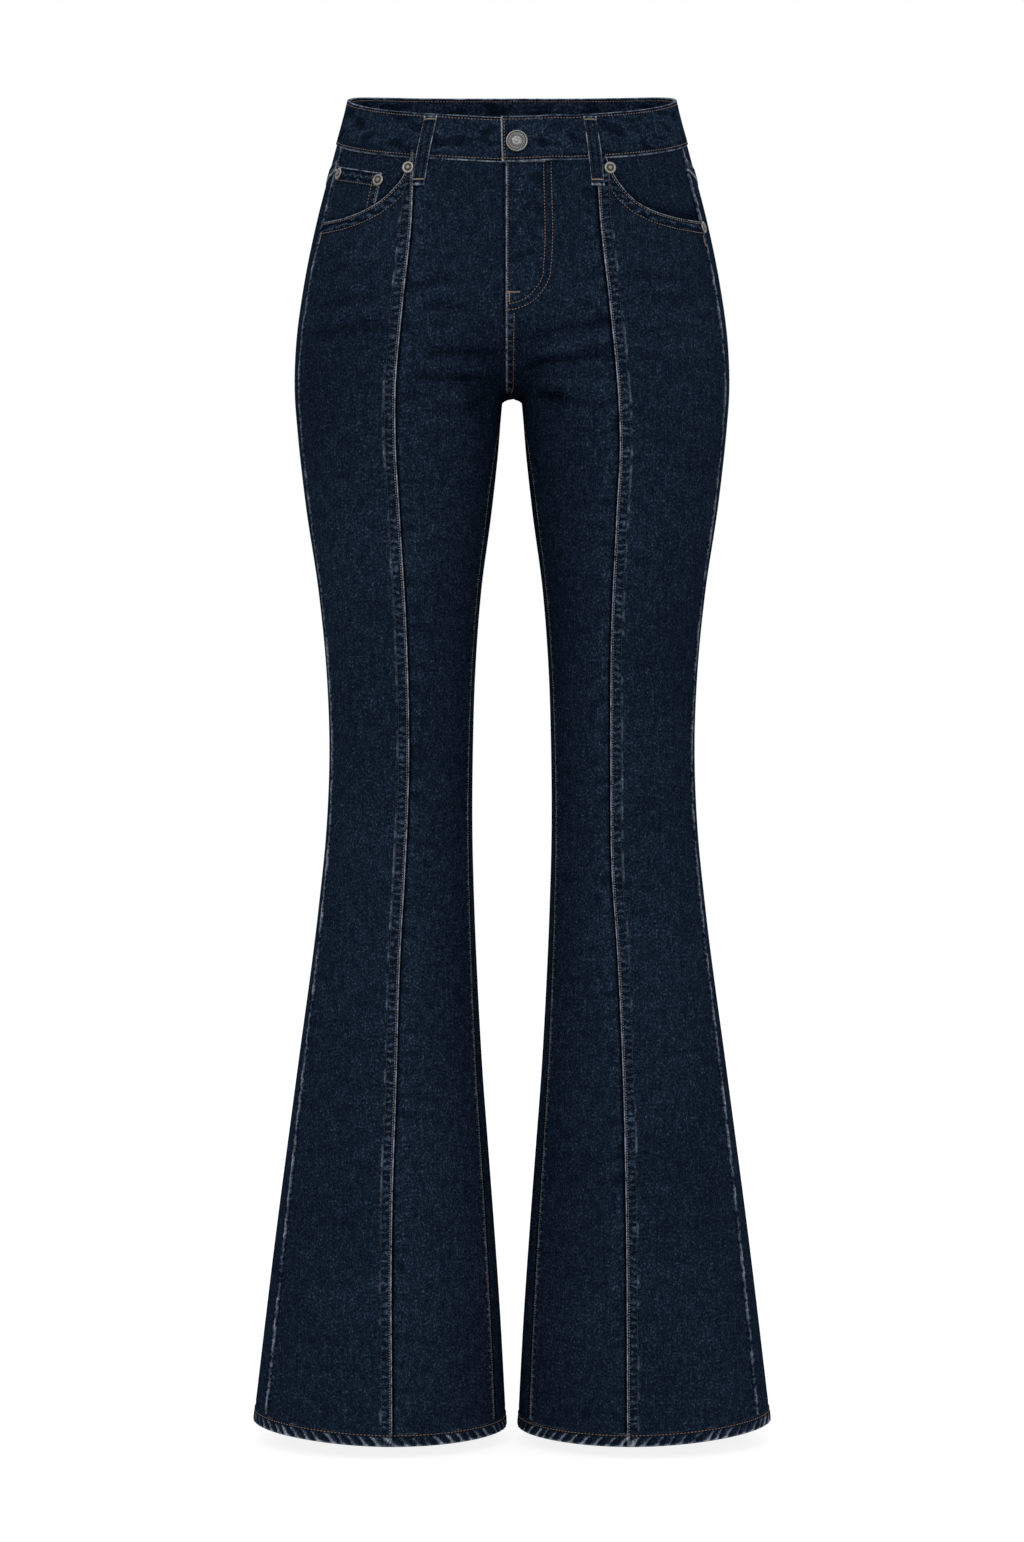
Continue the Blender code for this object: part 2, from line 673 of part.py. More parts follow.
def fly():
    zip_top = -(CLOTH + FLY_GAP)
    middle_strip("zip", (-ZIP_REACH, ZIP_REACH), zip_top, ZIP_CLOTH, "zip")
    middle_strip("fly_shield", SHIELD_REACH, zip_top - ZIP_CLOTH - PATCH_GAP, SHIELD_CLOTH, "denim")


# Back pockets: five-sided patches, as places across the back and heights

BACK_POCKET_CENTRE = 76.0
BACK_POCKET_TOP = -112.0
BACK_POCKET_WIDTH = 128.0
BACK_POCKET_FOOT_WIDTH = 108.0
BACK_POCKET_DEPTH = 138.0
BACK_POCKET_POINT = 16.0    # the middle of the foot hangs this much lower than its corners
BACK_POCKET_SLOPE = 0.10    # the top edge rises to the side
BACK_POCKET_GRID = 9        # columns and rows of points


def back_pocket(name, side):
    across = np.linspace(-1.0, 1.0, BACK_POCKET_GRID)[None, :]
    drop = np.linspace(0.0, 1.0, BACK_POCKET_GRID)[:, None]
    width = BACK_POCKET_WIDTH + (BACK_POCKET_FOOT_WIDTH - BACK_POCKET_WIDTH) * drop
    x = BACK_POCKET_CENTRE + across * width / 2.0
    foot = BACK_POCKET_DEPTH - BACK_POCKET_POINT * np.abs(across)
    z = BACK_POCKET_TOP + BACK_POCKET_SLOPE * (x - BACK_POCKET_CENTRE) * (1.0 - drop) - drop * foot
    angle = angle_at(x, z, -1)
    layer("back_pocket_" + name, angle, z, side, PATCH_GAP + POCKET_CLOTH, POCKET_CLOTH)


# Belt loops: name, side, facing, place across at the top and at the foot

LOOP_COLUMNS = ("name", "side", "facing", "top", "foot")
BELT_LOOPS = (
    ("front_left", 1, 1, 60.0, 66.5),
    ("front_right", -1, 1, 62.6, 72.7),
    ("back_left", 1, -1, 68.0, 69.0),
    ("back_right", -1, -1, 76.0, 77.0),
    ("back_centre", 1, -1, 0.0, 0.0),
)
LOOP_WIDTH = 10.0
LOOP_CLOTH = 1.6
LOOP_TOP_INSET = 2.5
LOOP_FOOT_DROP = 21.6       # below the waistband
LOOP_LEVEL = -50.0          # about the height of a loop's middle
LOOP_ROWS = 9
LOOP_BOW = 2.2              # the middle stands off the band this much more than the ends


def belt_loop(name, side, facing, top_across, foot_across):
    drop = np.linspace(0.0, 1.0, LOOP_ROWS)[:, None]
    across = top_across + (foot_across - top_across) * drop + np.array([[-0.5, 0.0, 0.5]]) * LOOP_WIDTH
    middle = angle_at((top_across + foot_across) / 2.0, np.array(LOOP_LEVEL), facing)
    upper = band_top(middle) - LOOP_TOP_INSET
    foot = band_bottom(middle) - LOOP_FOOT_DROP
    z = np.broadcast_to(upper + drop * (foot - upper), across.shape)
    if top_across == 0.0:
        points = surface(angle_at(np.abs(across), z, facing), z)
        points = points * np.stack([np.sign(across + TINY)] + [np.ones_like(across)] * 2, axis=-1)
    else:
        points = surface(angle_at(across, z, facing), z)
    away = outward(points)
    stand = BAND_PROUD + LAYER_GAP + LOOP_BOW * np.sin(np.pi * drop) ** 2
    stand = np.broadcast_to(stand, across.shape)[..., None]
    wall("belt_loop_" + name, points + away * (stand + LOOP_CLOTH), points + away * stand, side)


# Metal: turned pieces, as distance from the axis and height off the cloth

RING_COLUMNS = ("radius", "height")
BUTTON_PROFILE = (
    (3.2, 0.0),
    (3.2, 1.0),
    (7.6, 1.2),
    (8.5, 2.0),
    (8.5, 3.0),
    (7.7, 3.6),
    (6.6, 3.1),
    (5.6, 3.0),
    (3.6, 3.9),
    (1.6, 4.3),
)
RIVET_PROFILE = (
    (4.7, 0.0),
    (4.7, 0.6),
    (4.1, 1.1),
    (2.4, 0.9),
    (1.5, 1.6),
)
BUTTON_SEGMENTS = 24
RIVET_SEGMENTS = 14
BUTTON_PLACE = (4.0, -53.7)                 # across and height
RIVET_COLUMNS = ("name", "side", "across", "z", "stand")
COIN_STAND = POCKET_TOP + LAYER_GAP + POCKET_CLOTH + LAYER_GAP
RIVETS = (
    ("mouth_left", 1, 75.6, -73.0, RIDGE_PROUD + LAYER_GAP),
    ("mouth_right", -1, 80.2, -72.5, RIDGE_PROUD + LAYER_GAP),
    ("side_left", 1, 150.5, -110.5, LAYER_GAP),
    ("coin_inner", -1, 104.0, -80.5, COIN_STAND),
    ("coin_outer", -1, 136.0, -69.5, COIN_STAND),
)


def turned(name, profile, place, axis, segments, colour, smooth_below=35.0):
    """A solid of revolution standing on the cloth at place, with axis pointing out of it."""
    axis = axis / np.linalg.norm(axis)
    one = np.cross(axis, [0.0, 0.0, 1.0])
    one = one / np.linalg.norm(one)
    two = np.cross(axis, one)
    points = []
    faces = []
    for radius, height in profile:
        for step in range(segments):
            turn = 2.0 * math.pi * step / segments
            points.append(place + axis * height + radius * (math.cos(turn) * one + math.sin(turn) * two))
    for ring in range(len(profile) - 1):
        for step in range(segments):
            beside = (step + 1) % segments
            here, above = ring * segments, (ring + 1) * segments
            faces.append((here + step, here + beside, above + beside, above + step))
    faces.append(tuple(range(segments)))
    faces.append(tuple(range(len(points) - segments, len(points))))
    finish(name, points, faces, colour, smooth_below)


def on_cloth(side, across, z, stand):
    """A place on the front, this far off the cloth, and the way out of it."""
    height = np.array(z)
    point = surface(angle_at(across, height, 1), height)
    away = outward(point)
    mirror = np.array([side, 1.0, 1.0])
    return (point + away * stand) * mirror, away * mirror


def metal():
    place, axis = on_cloth(1, BUTTON_PLACE[0], BUTTON_PLACE[1], BAND_PROUD + LAP_RISE + LAYER_GAP)
    turned("button", BUTTON_PROFILE, place, axis, BUTTON_SEGMENTS, "pewter")
    for name, side, across, z, stand in RIVETS:
        place, axis = on_cloth(side, across, z, stand)
        turned("rivet_" + name, RIVET_PROFILE, place, axis, RIVET_SEGMENTS, "nickel")


def remove_all():
    for thing in list(bpy.data.objects):
        bpy.data.objects.remove(thing, do_unlink=True)


def build():
    remove_all()
    for name, side in SIDES.items():
        front_centre(name, side)
        front_side(name, side)
        back(name, side)
        yoke(name, side)
        front_pocket(name, side)
        back_pocket(name, side)
    waistband()
    coin_pocket(SIDES["right"])
    fly()
    for name, side, facing, top_across, foot_across in BELT_LOOPS:
        belt_loop(name, side, facing, top_across, foot_across)
    metal()


build()
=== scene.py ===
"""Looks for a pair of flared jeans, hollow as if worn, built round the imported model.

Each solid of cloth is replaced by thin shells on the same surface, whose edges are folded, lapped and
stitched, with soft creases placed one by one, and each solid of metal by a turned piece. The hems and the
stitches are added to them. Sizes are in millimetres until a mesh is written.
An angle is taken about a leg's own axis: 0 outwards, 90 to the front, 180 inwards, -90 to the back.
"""

import math

import bpy
import numpy as np
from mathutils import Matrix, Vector


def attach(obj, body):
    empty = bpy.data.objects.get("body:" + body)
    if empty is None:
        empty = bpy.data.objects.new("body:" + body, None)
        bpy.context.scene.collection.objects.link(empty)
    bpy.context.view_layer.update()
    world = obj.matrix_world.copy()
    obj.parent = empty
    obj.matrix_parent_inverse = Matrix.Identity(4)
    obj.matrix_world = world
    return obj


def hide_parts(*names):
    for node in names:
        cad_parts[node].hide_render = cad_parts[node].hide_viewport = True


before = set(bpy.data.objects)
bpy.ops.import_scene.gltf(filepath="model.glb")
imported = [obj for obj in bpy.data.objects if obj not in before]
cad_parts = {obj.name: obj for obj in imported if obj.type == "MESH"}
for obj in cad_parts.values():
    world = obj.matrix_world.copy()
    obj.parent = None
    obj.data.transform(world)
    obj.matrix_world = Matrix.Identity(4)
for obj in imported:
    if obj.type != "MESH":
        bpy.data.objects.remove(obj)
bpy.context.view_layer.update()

MM = 0.001

# Overall sizes
WAIST_LEVEL = -1.6          # waistband's top edge at the sides
WAIST_TILT = 0.255          # it rises to the back: height gained for each mm of depth
WAIST_BOW = -0.0008         # and sags a little at the front and back middle
WAIST_DIP = 3.2             # and dips more at the button
DIP_WIDTH = 42.0            # over about this far to each side
BAND_HEIGHT = 35.6
HEM_HEIGHT = -1059.6        # middle of the hem
HEM_LEAN = 2.8              # the hem's inner side hangs this much lower, and the outer side higher
HEM_FRONT_DROP = 4.0
CROTCH_LEVEL = -238.0       # where the two legs meet
SEAT_SLOPE = 0.62           # above it, how quickly the inner ends of the loops cross the middle
SEAT_CURVE = 1.1            # and how that grows towards the waist
SEAT_SPAN = 60.0            # over this height
SEAT_LAG = 0.3              # once this share of it has passed
SEAT_EASE = 4.0             # the crossing starts this softly

# Cloth
CLOTH = 1.5                 # wall of the panels, over the zip
BAND_CLOTH = 2.8            # wall of the waistband
BAND_PROUD = 1.0            # how far it stands off the surface
HEM_DEPTH = 10.0
SEAM_GAP = 0.3
LAYER_GAP = 0.45            # between two layers
PATCH_GAP = 0.8             # between two wide layers, whose flat faces bulge towards each other

# One row for each level: height, outer side, the leg's axis across and in depth, front, back
SECTIONS = (
    (30.0, 126.5, 42.0, 0.0, -84.0, 76.0),
    (0.0, 130.0, 44.0, 0.0, -88.0, 82.0),
    (-50.0, 142.8, 48.0, 2.0, -94.0, 96.0),
    (-100.0, 156.0, 55.0, 4.0, -99.0, 110.0),
    (-150.0, 166.3, 65.0, 5.0, -102.0, 117.0),
    (-200.0, 172.8, 77.0, 4.0, -102.0, 111.0),
    (-240.0, 173.6, 88.0, 2.0, -99.0, 99.0),
    (-266.0, 171.6, 90.4, 1.0, -96.0, 93.0),
    (-330.0, 164.4, 90.2, 0.0, -89.0, 85.0),
    (-394.0, 154.8, 89.6, 0.0, -83.0, 77.0),
    (-458.0, 148.4, 88.8, 0.0, -74.0, 70.0),
    (-522.0, 146.0, 88.6, 0.0, -66.0, 64.0),
    (-586.0, 148.4, 90.0, 0.0, -64.0, 63.0),
    (-650.0, 154.8, 92.4, 0.0, -66.0, 66.0),
    (-778.0, 171.6, 97.6, 0.0, -72.0, 72.0),
    (-906.0, 188.4, 101.2, 0.0, -78.0, 78.0),
    (-1070.0, 208.0, 106.0, 0.0, -85.0, 85.0),
)
# Heights below the crotch, and half the space between the legs there
GAPS = (
    (-242.0, 8.2), (-266.0, 9.6), (-330.0, 16.0), (-394.0, 24.4), (-458.0, 29.2),
    (-522.0, 31.2), (-586.0, 31.6), (-650.0, 30.0), (-714.0, 27.2), (-778.0, 23.6),
    (-842.0, 18.8), (-906.0, 14.0), (-970.0, 9.6), (-1070.0, 4.2),
)
RAY = 260.0                 # further than any loop reaches from its axis
FARTHEST = 150.0            # and further than any depth from its middle
LOOP_ROUNDNESS = 2.1        # 2 is an ellipse, more is squarer
CROTCH_SQUARENESS = 0.9     # added to a loop's inner half round the crotch
SQUARE_ABOVE = 120.0        # and how far above and below the crotch it fades
SQUARE_BELOW = 90.0
BLEND_LEAST = 0.5           # how widely the two legs melt together along their whole length
BLEND_AT_CROTCH = 33.0      # and how much more widely at the crotch
BLEND_BELOW = 12.0          # that starts this far below the crotch's level
BLEND_ABOVE = 1.5           # is whole this far above it
BLEND_FADE = 120.0          # and is gone this far above it
MIDDLE_REACH = 34.0         # past the middle, each leg's loop counts this far
MIDDLE_SLOPE = 8.0          # and beyond that it falls away this steeply
HALVINGS = 24               # rounds of each search for a place
TURNS = (1.0, 179.99)       # least and greatest angle of such a search
PROBE = 0.25                # how far to each side the surface is felt for its slope
TINY = 1e-9


def columns(table):
    """A table's columns, from its last row to its first, so that heights and angles rise."""
    return np.array(table[::-1]).T


def curve_through(heights, values):
    """A smooth function of height through the table's points."""
    slopes = np.gradient(values, heights)

    def value(z):
        z = np.clip(z, heights[0], heights[-1])
        i = np.clip(np.searchsorted(heights, z) - 1, 0, len(heights) - 2)
        step = heights[i + 1] - heights[i]
        t = (z - heights[i]) / step
        rest = 1.0 - t
        return (
            values[i] * rest * rest * (1.0 + 2.0 * t)
            + values[i + 1] * t * t * (3.0 - 2.0 * t)
            + step * slopes[i] * t * rest * rest
            - step * slopes[i + 1] * t * t * rest
        )

    return value


LEVELS, *MEASURES = columns(SECTIONS)
OUTER, AXIS, DEPTH, FRONT, BACK = [curve_through(LEVELS, values) for values in MEASURES]
LEG_GAP = curve_through(*columns(GAPS))


def smooth(t):
    t = np.clip(t, 0.0, 1.0)
    return t * t * (3.0 - 2.0 * t)


def inner_end(z):
    """Where a loop's inner end stands. Above the crotch it runs past the middle, so the loop opens."""
    above = SEAT_EASE * np.logaddexp(0.0, (z - CROTCH_LEVEL) / SEAT_EASE)
    return LEG_GAP(z) - SEAT_SLOPE * above * (1.0 + SEAT_CURVE * smooth(above / SEAT_SPAN - SEAT_LAG))


def loop_distance(x, y, z):
    """How far outside one leg's loop a point stands, along the ray from the leg's axis."""
    across = x - AXIS(z)
    along = y - DEPTH(z)
    half_across = np.where(across > 0.0, OUTER(z) - AXIS(z), AXIS(z) - inner_end(z))
    half_along = np.where(along < 0.0, DEPTH(z) - FRONT(z), BACK(z) - DEPTH(z))
    from_crotch = z - CROTCH_LEVEL
    fade = np.where(from_crotch > 0.0, from_crotch / SQUARE_ABOVE, -from_crotch / SQUARE_BELOW)
    square = 1.0 - smooth(fade)
    roundness = LOOP_ROUNDNESS + np.where(across > 0.0, 0.0, CROTCH_SQUARENESS * square)
    gauge = np.abs(across / half_across) ** roundness + np.abs(along / half_along) ** roundness
    gauge = np.maximum(gauge, TINY) ** (1.0 / roundness)
    return np.hypot(across, along) * (1.0 - 1.0 / gauge)


def cloth_distance(x, y, z):
    """The two legs' loops, melted together where they meet."""
    here = loop_distance(x, y, z) + MIDDLE_SLOPE * np.maximum(-x - MIDDLE_REACH, 0.0)
    there = loop_distance(-x, y, z) + MIDDLE_SLOPE * np.maximum(x - MIDDLE_REACH, 0.0)
    start = smooth((z - CROTCH_LEVEL + BLEND_BELOW) / (BLEND_BELOW + BLEND_ABOVE))
    width = BLEND_LEAST + BLEND_AT_CROTCH * start * (1.0 - smooth((z - CROTCH_LEVEL) / BLEND_FADE))
    meet = np.maximum(width - np.abs(here - there), 0.0) / width
    return np.minimum(here, there) - meet * meet * width / 4.0


def last_held(holds, held, beyond):
    """The last place at which this holds, by halving between one where it does and one where it doesn't."""
    for _ in range(HALVINGS):
        middle = (held + beyond) / 2.0
        still = holds(middle)
        held = np.where(still, middle, held)
        beyond = np.where(still, beyond, middle)
    return held


def surface(angle, z):
    """The cloth's point at an angle, in degrees, about the leg's axis and a height."""
    angle, z = np.broadcast_arrays(np.asarray(angle, float), np.asarray(z, float))
    across, along = np.cos(np.radians(angle)), -np.sin(np.radians(angle))
    axis, depth = AXIS(z), DEPTH(z)

    def inside(reach):
        return cloth_distance(axis + reach * across, depth + reach * along, z) <= 0.0

    to_middle = np.minimum(RAY, axis / np.maximum(-across, TINY))
    reach = last_held(inside, np.zeros(z.shape), to_middle)
    points = np.stack([axis + reach * across, depth + reach * along, z], axis=-1)
    past = inside(to_middle)
    if past.any():
        points[past] = past_middle(angle[past], z[past])
    return points


def depth_at(across, z, facing):
    """The cloth's depth this far across, felt for straight to the front (1) or the back (-1)."""
    start = DEPTH(z) + 0.0 * across
    return last_held(lambda depth: cloth_distance(across, depth, z) <= 0.0, start, start - facing * FARTHEST)


def at_middle(z, facing):
    """The turn about the leg's axis to the garment's middle, and the reach there."""
    depth = np.abs(depth_at(np.zeros(np.shape(z)), z, facing) - DEPTH(z))
    return np.degrees(np.arctan2(depth, -AXIS(z))), np.hypot(depth, AXIS(z))


def past_middle(angle, z):
    """Points past the middle, where each further degree is as long as it is at the middle."""
    facing = np.sign(angle)
    turn, reach = at_middle(z, facing)
    across = np.maximum(-np.radians(np.abs(angle) - turn) * reach, -MIDDLE_REACH)
    return np.stack([across, depth_at(across, z, facing), z], axis=-1)


def angle_of(points):
    """The angle at which the cloth's surface holds these points."""
    x, y, z = np.moveaxis(points, -1, 0)
    angle = np.degrees(np.arctan2(DEPTH(z) - y, x - AXIS(z)))
    facing = np.sign(angle)
    turn, reach = at_middle(z, facing)
    return np.where((x < 0.0) & (z > CROTCH), facing * (turn - np.degrees(x / reach)), angle)


def outward(points):
    """Unit vectors square to the cloth, pointing out of the garment."""
    x, y, z = np.moveaxis(points, -1, 0)
    slope = np.stack([
        cloth_distance(x + PROBE, y, z) - cloth_distance(x - PROBE, y, z),
        cloth_distance(x, y + PROBE, z) - cloth_distance(x, y - PROBE, z),
        cloth_distance(x, y, z + PROBE) - cloth_distance(x, y, z - PROBE),
    ], axis=-1)
    return slope / np.linalg.norm(slope, axis=-1, keepdims=True)


def angle_at(across, z, facing):
    """The angle at which the cloth stands this far from the middle; facing is 1 in front, -1 behind."""
    across, z = np.broadcast_arrays(np.asarray(across, float), np.asarray(z, float))
    least, most = (np.full(z.shape, turn) for turn in TURNS)
    return facing * last_held(lambda turn: surface(facing * turn, z)[..., 0] > across, least, most)


def arc_angle(length, angle, z):
    """The turn about the leg's axis that a length along the cloth makes."""
    point = surface(angle, z)
    return np.degrees(length / np.hypot(point[..., 0] - AXIS(z), point[..., 1] - DEPTH(z)))


def across_middle(across, z, facing):
    """Points this far across, below 0 on the wearer's right, and the ways out of the cloth there."""
    points = surface(angle_at(np.abs(across), z, facing), z)
    away = outward(points)
    mirror = np.ones(points.shape)
    mirror[..., 0] = np.where(across < 0.0, -1.0, 1.0)
    return points * mirror, away * mirror


def mirrored(side):
    """What a point or a direction of the left half is multiplied by for a half."""
    return np.array([side, 1.0, 1.0])


# Seams. side is 1 for the wearer's left half and -1 for the right, and the right half is the left
# one's mirror image except where a table has a column for each.

SIDE_SEAM_ANGLE = 26.0
INSEAM_ANGLE = 159.0        # the inseam stands under the crotch and leans to the front below it
INSEAM_LEAN_DEPTH = 45.0
FLY_SHIFT = 5.0             # the centre front seam's edge stands this far to the wearer's right
FLY_SHIFT_REACH = 15.0      # from this far in front of the crotch
FLY_FOOT = -182.0           # where the fly ends and the two fronts are sewn together
UNDER_FADE = 24.0           # an underlap grows over this height below the crotch
UNDER_REACH = 40.0          # and this far in front of it or behind it
# Heights, and how far from the middle the front seam stands on the right half and on the left
FRONT_SEAM = (
    (-60.0, 76.0, 65.0),
    (-113.0, 77.5, 68.0),
    (-177.0, 84.0, 75.0),
    (-249.0, 90.0, 82.0),
    (-283.0, 90.0, 83.5),
    (-341.0, 87.0, 81.0),
    (-421.0, 82.5, 77.5),
    (-536.0, 80.5, 77.0),
    (-618.0, 83.5, 78.0),
    (-678.0, 87.0, 82.0),
    (-796.0, 90.5, 87.0),
    (-873.0, 93.0, 88.5),
    (-1070.0, 93.0, 89.5),
)
# The pocket's mouth: angles on the right half and on the left, and the height there
POCKET_MOUTH = (
    (73.2, 76.4, -64.0),
    (71.6, 74.6, -76.0),
    (67.8, 71.2, -88.0),
    (63.5, 67.6, -96.0),
    (56.0, 61.0, -103.0),
    (46.5, 51.0, -107.0),
    (33.0, 36.0, -107.5),
    (10.0, 10.0, -102.0),
)
MIDDLE_ANGLE = 116.0        # about where the middle of the front stands at the waist
YOKE_AT_SIDE = -66.0        # heights of the yoke's lower edge
YOKE_AT_BACK = -96.0
SIDES = {"left": 1, "right": -1}


def seam_offset(z, side):
    """How far from the middle the front seam stands at a height."""
    heights, right, left = columns(FRONT_SEAM)
    return curve_through(heights, left if side > 0 else right)(z)


def front_seam_angle(z, side):
    return angle_at(seam_offset(z, side), z, 1)


def mouth_table(side):
    """Angles along the pocket's mouth, and its heights there."""
    right, left, heights = columns(POCKET_MOUTH)
    return (left if side > 0 else right), heights


def mouth_height(angle, side):
    """The mouth's height at an angle; nearer to the middle than its upper end, it cuts nothing off."""
    angles, heights = mouth_table(side)
    return np.where(np.asarray(angle) > angles[-1], 0.0, curve_through(angles, heights)(angle))


CROTCH_SEARCH = (20.0, -10.0)               # looked for between these heights from its level
CROTCH = float(last_held(lambda z: cloth_distance(np.array(0.0), DEPTH(z), z) <= 0.0,
                         *[CROTCH_LEVEL + step for step in CROTCH_SEARCH]))


def from_crotch(z, facing):
    """How far in front of the crotch, or behind it, the centre seam has come at a height."""
    above = np.maximum(z, CROTCH + TINY)
    return np.abs(depth_at(np.zeros(np.shape(z)), above, facing) - DEPTH(above)) * (np.asarray(z) > CROTCH)


def centre_edge(z, side, facing, under=0.0, inseam_under=0.0):
    """Angle of a half's edge along the centre seam above the crotch, and along the inseam below it.

    under and inseam_under are how far it runs on below its neighbour, above and below the crotch.
    """
    reach = from_crotch(z, facing)
    shift = FLY_SHIFT * smooth(reach / FLY_SHIFT_REACH) * (facing > 0)
    past = under * smooth(reach / UNDER_REACH)
    above = angle_at(SEAM_GAP / 2.0 - side * shift - past, np.maximum(z, CROTCH + TINY), facing)
    lean = (180.0 - INSEAM_ANGLE) * smooth((CROTCH - z) / INSEAM_LEAN_DEPTH)
    inseam = 180.0 - lean if facing > 0 else -180.0 - lean
    beyond = inseam_under * smooth((CROTCH - z) / UNDER_FADE) - SEAM_GAP / 2.0
    below = inseam + facing * arc_angle(beyond, inseam, z)
    return np.where(z > CROTCH, above, below)


def side_edge(z, facing):
    return SIDE_SEAM_ANGLE + facing * arc_angle(SEAM_GAP / 2.0, SIDE_SEAM_ANGLE, z)


# Upper and lower edges, as heights over the angle

RIM_ANGLES = np.linspace(-125.0, 125.0, 251)
RIM = surface(RIM_ANGLES, 0.0)


def band_top(angle):
    across = np.interp(angle, RIM_ANGLES, RIM[:, 0])
    depth = np.interp(angle, RIM_ANGLES, RIM[:, 1])
    dip = WAIST_DIP * np.exp(-((across / DIP_WIDTH) ** 2)) * (depth < 0.0)
    return WAIST_LEVEL + WAIST_TILT * depth + WAIST_BOW * depth * depth - dip


def band_bottom(angle):
    return band_top(angle) - BAND_HEIGHT


MIDDLE_BACK = angle_at(0.0, np.array(YOKE_AT_BACK), -1)


def yoke_bottom(angle):
    share = np.clip((angle - SIDE_SEAM_ANGLE) / (MIDDLE_BACK - SIDE_SEAM_ANGLE), 0.0, 1.0)
    return YOKE_AT_SIDE + (YOKE_AT_BACK - YOKE_AT_SIDE) * share


def hem(angle):
    turn = np.radians(angle)
    front = np.maximum(np.sin(turn), 0.0) ** 2
    return HEM_HEIGHT + HEM_LEAN * np.cos(turn) - HEM_FRONT_DROP * front


# Heights that an edge is tabulated at: from the hem to the waist, and closer round the crotch
TABLE_FOOT = -1075.0
TABLE_HEAD = 30.0
TABLE_STEP = 5.0
TABLE_CLOSE = 10.0
CLOSE_STEPS = np.linspace(-1.0, 1.0, 21)
TABLE_HEIGHTS = np.concatenate([
    np.arange(TABLE_FOOT, CROTCH - TABLE_CLOSE, TABLE_STEP),
    CROTCH + TABLE_CLOSE * CLOSE_STEPS * np.abs(CLOSE_STEPS),
    np.arange(CROTCH + TABLE_CLOSE + TABLE_STEP / 2.0, TABLE_HEAD, TABLE_STEP),
])


def tabulated(edge):
    """The same edge read from a fine table, for working out where a panel's columns go."""
    angles = edge(TABLE_HEIGHTS)
    return lambda z: np.interp(z, TABLE_HEIGHTS, angles)


# Rows shared by all long panels: heights at the side, which bend to each panel's own top and hem

ROW_TOP = WAIST_LEVEL - BAND_HEIGHT
TOP_FADE = 195.0
HEM_FADE = 100.0
RISE_ROWS = 84
RISE_SAMPLES = 300
RISE_CROWDING = 2.2         # how closely the seam is sampled towards the crotch
RISE_START = 0.02
ARCH_STEPS = (0.02, 0.4, 1.0, 1.8, 2.8, 4.2, 6.2, 8.6, 11.2, 14.0, 17.0, 20.0, 23.0, 26.0, 30.0, 34.0, 38.0,
              42.0)         # depths of the rows just below the crotch
LEG_ROWS = 272
SETTLE_ROUNDS = 8           # how often a row's heights and angles are fitted to each other
CROWDING = 1.6              # how soon the rows even out away from the inner edge


def rise_rows(near_top):
    """Heights at steps along the centre front seam, from near the waistband to the crotch."""
    share = np.linspace(RISE_START, 1.0, RISE_SAMPLES)
    heights = CROTCH + (ROW_TOP - CROTCH) * share ** RISE_CROWDING
    seam = surface(angle_at(SEAM_GAP / 2.0, heights, 1), heights)
    steps = np.linalg.norm(np.diff(seam, axis=0), axis=1)
    start = abs(seam[0, 1] - DEPTH(CROTCH))
    along = start + np.concatenate([[0.0], np.cumsum(steps)])
    drops = np.concatenate([near_top, np.linspace(near_top[-1], along[-1], RISE_ROWS + 1)[1:-1]])
    return np.interp(along[-1] - drops, along, heights)


def row_heights(near_top):
    """Rows that crowd round the crotch, for a panel's inner edge, and even ones for its outer edge."""
    arch = CROTCH - np.array(ARCH_STEPS)
    crowded = np.concatenate([rise_rows(near_top), arch])
    below = np.linspace(ROW_TOP - near_top[-1], arch[-1], len(crowded) - len(near_top) + 1)[1:]
    even = np.concatenate([ROW_TOP - near_top, below])
    fold = HEM_HEIGHT + HEM_DEPTH
    legs = np.linspace(arch[-1], fold, LEG_ROWS + 1)[1:]
    lower = np.concatenate([legs, [HEM_HEIGHT + HEM_DEPTH / 2.0]])
    return np.concatenate([crowded, lower]), np.concatenate([even, lower])


def settle(edge_a, edge_b, shares, height_at):
    """Angles and heights of a grid between two seams, whose rows follow edges that depend on the angle."""
    near_a, near_b = tabulated(edge_a), tabulated(edge_b)
    z = height_at(np.full(shares.shape, SIDE_SEAM_ANGLE))
    for _ in range(SETTLE_ROUNDS):
        start = near_a(z)
        angle = start + shares * (near_b(z) - start)
        z = height_at(angle)
    exact_a = (edge_a(z[:, 0]) - near_a(z[:, 0]))[:, None]
    exact_b = (edge_b(z[:, -1]) - near_b(z[:, -1]))[:, None]
    return angle + exact_a * (1.0 - shares) + exact_b * shares, z


def long_grid(edge_a, edge_b, shares, top, inner_rows, outer_rows, inner_edge=True):
    """A panel that runs from its top edge to the hem; inner_edge says that edge_b is at the crotch."""
    crowded = shares ** CROWDING if inner_edge else 0.0 * shares
    level = outer_rows[:, None] * (1.0 - crowded) + inner_rows[:, None] * crowded
    top_pull = 1.0 - smooth((ROW_TOP - level) / TOP_FADE)
    hem_pull = 1.0 - smooth((level - HEM_HEIGHT) / HEM_FADE)

    def height_at(angle):
        return level + top_pull * (top(angle) - ROW_TOP) + hem_pull * (hem(angle) - HEM_HEIGHT)

    return settle(edge_a, edge_b, shares, height_at)


def short_grid(edge_a, edge_b, shares, drop, top, foot):
    """A small piece; shares are how far across each column stands, and drop how far down each row."""
    shares = np.broadcast_to(shares, (len(drop), len(shares)))

    def height_at(angle):
        upper = top(angle)
        return upper + drop[:, None] * (foot(angle) - upper)

    return settle(edge_a, edge_b, shares, height_at)


def upright(angle):
    """An edge that stays at one angle."""
    return lambda z: np.full_like(z, angle)


# Cloth as it is sewn

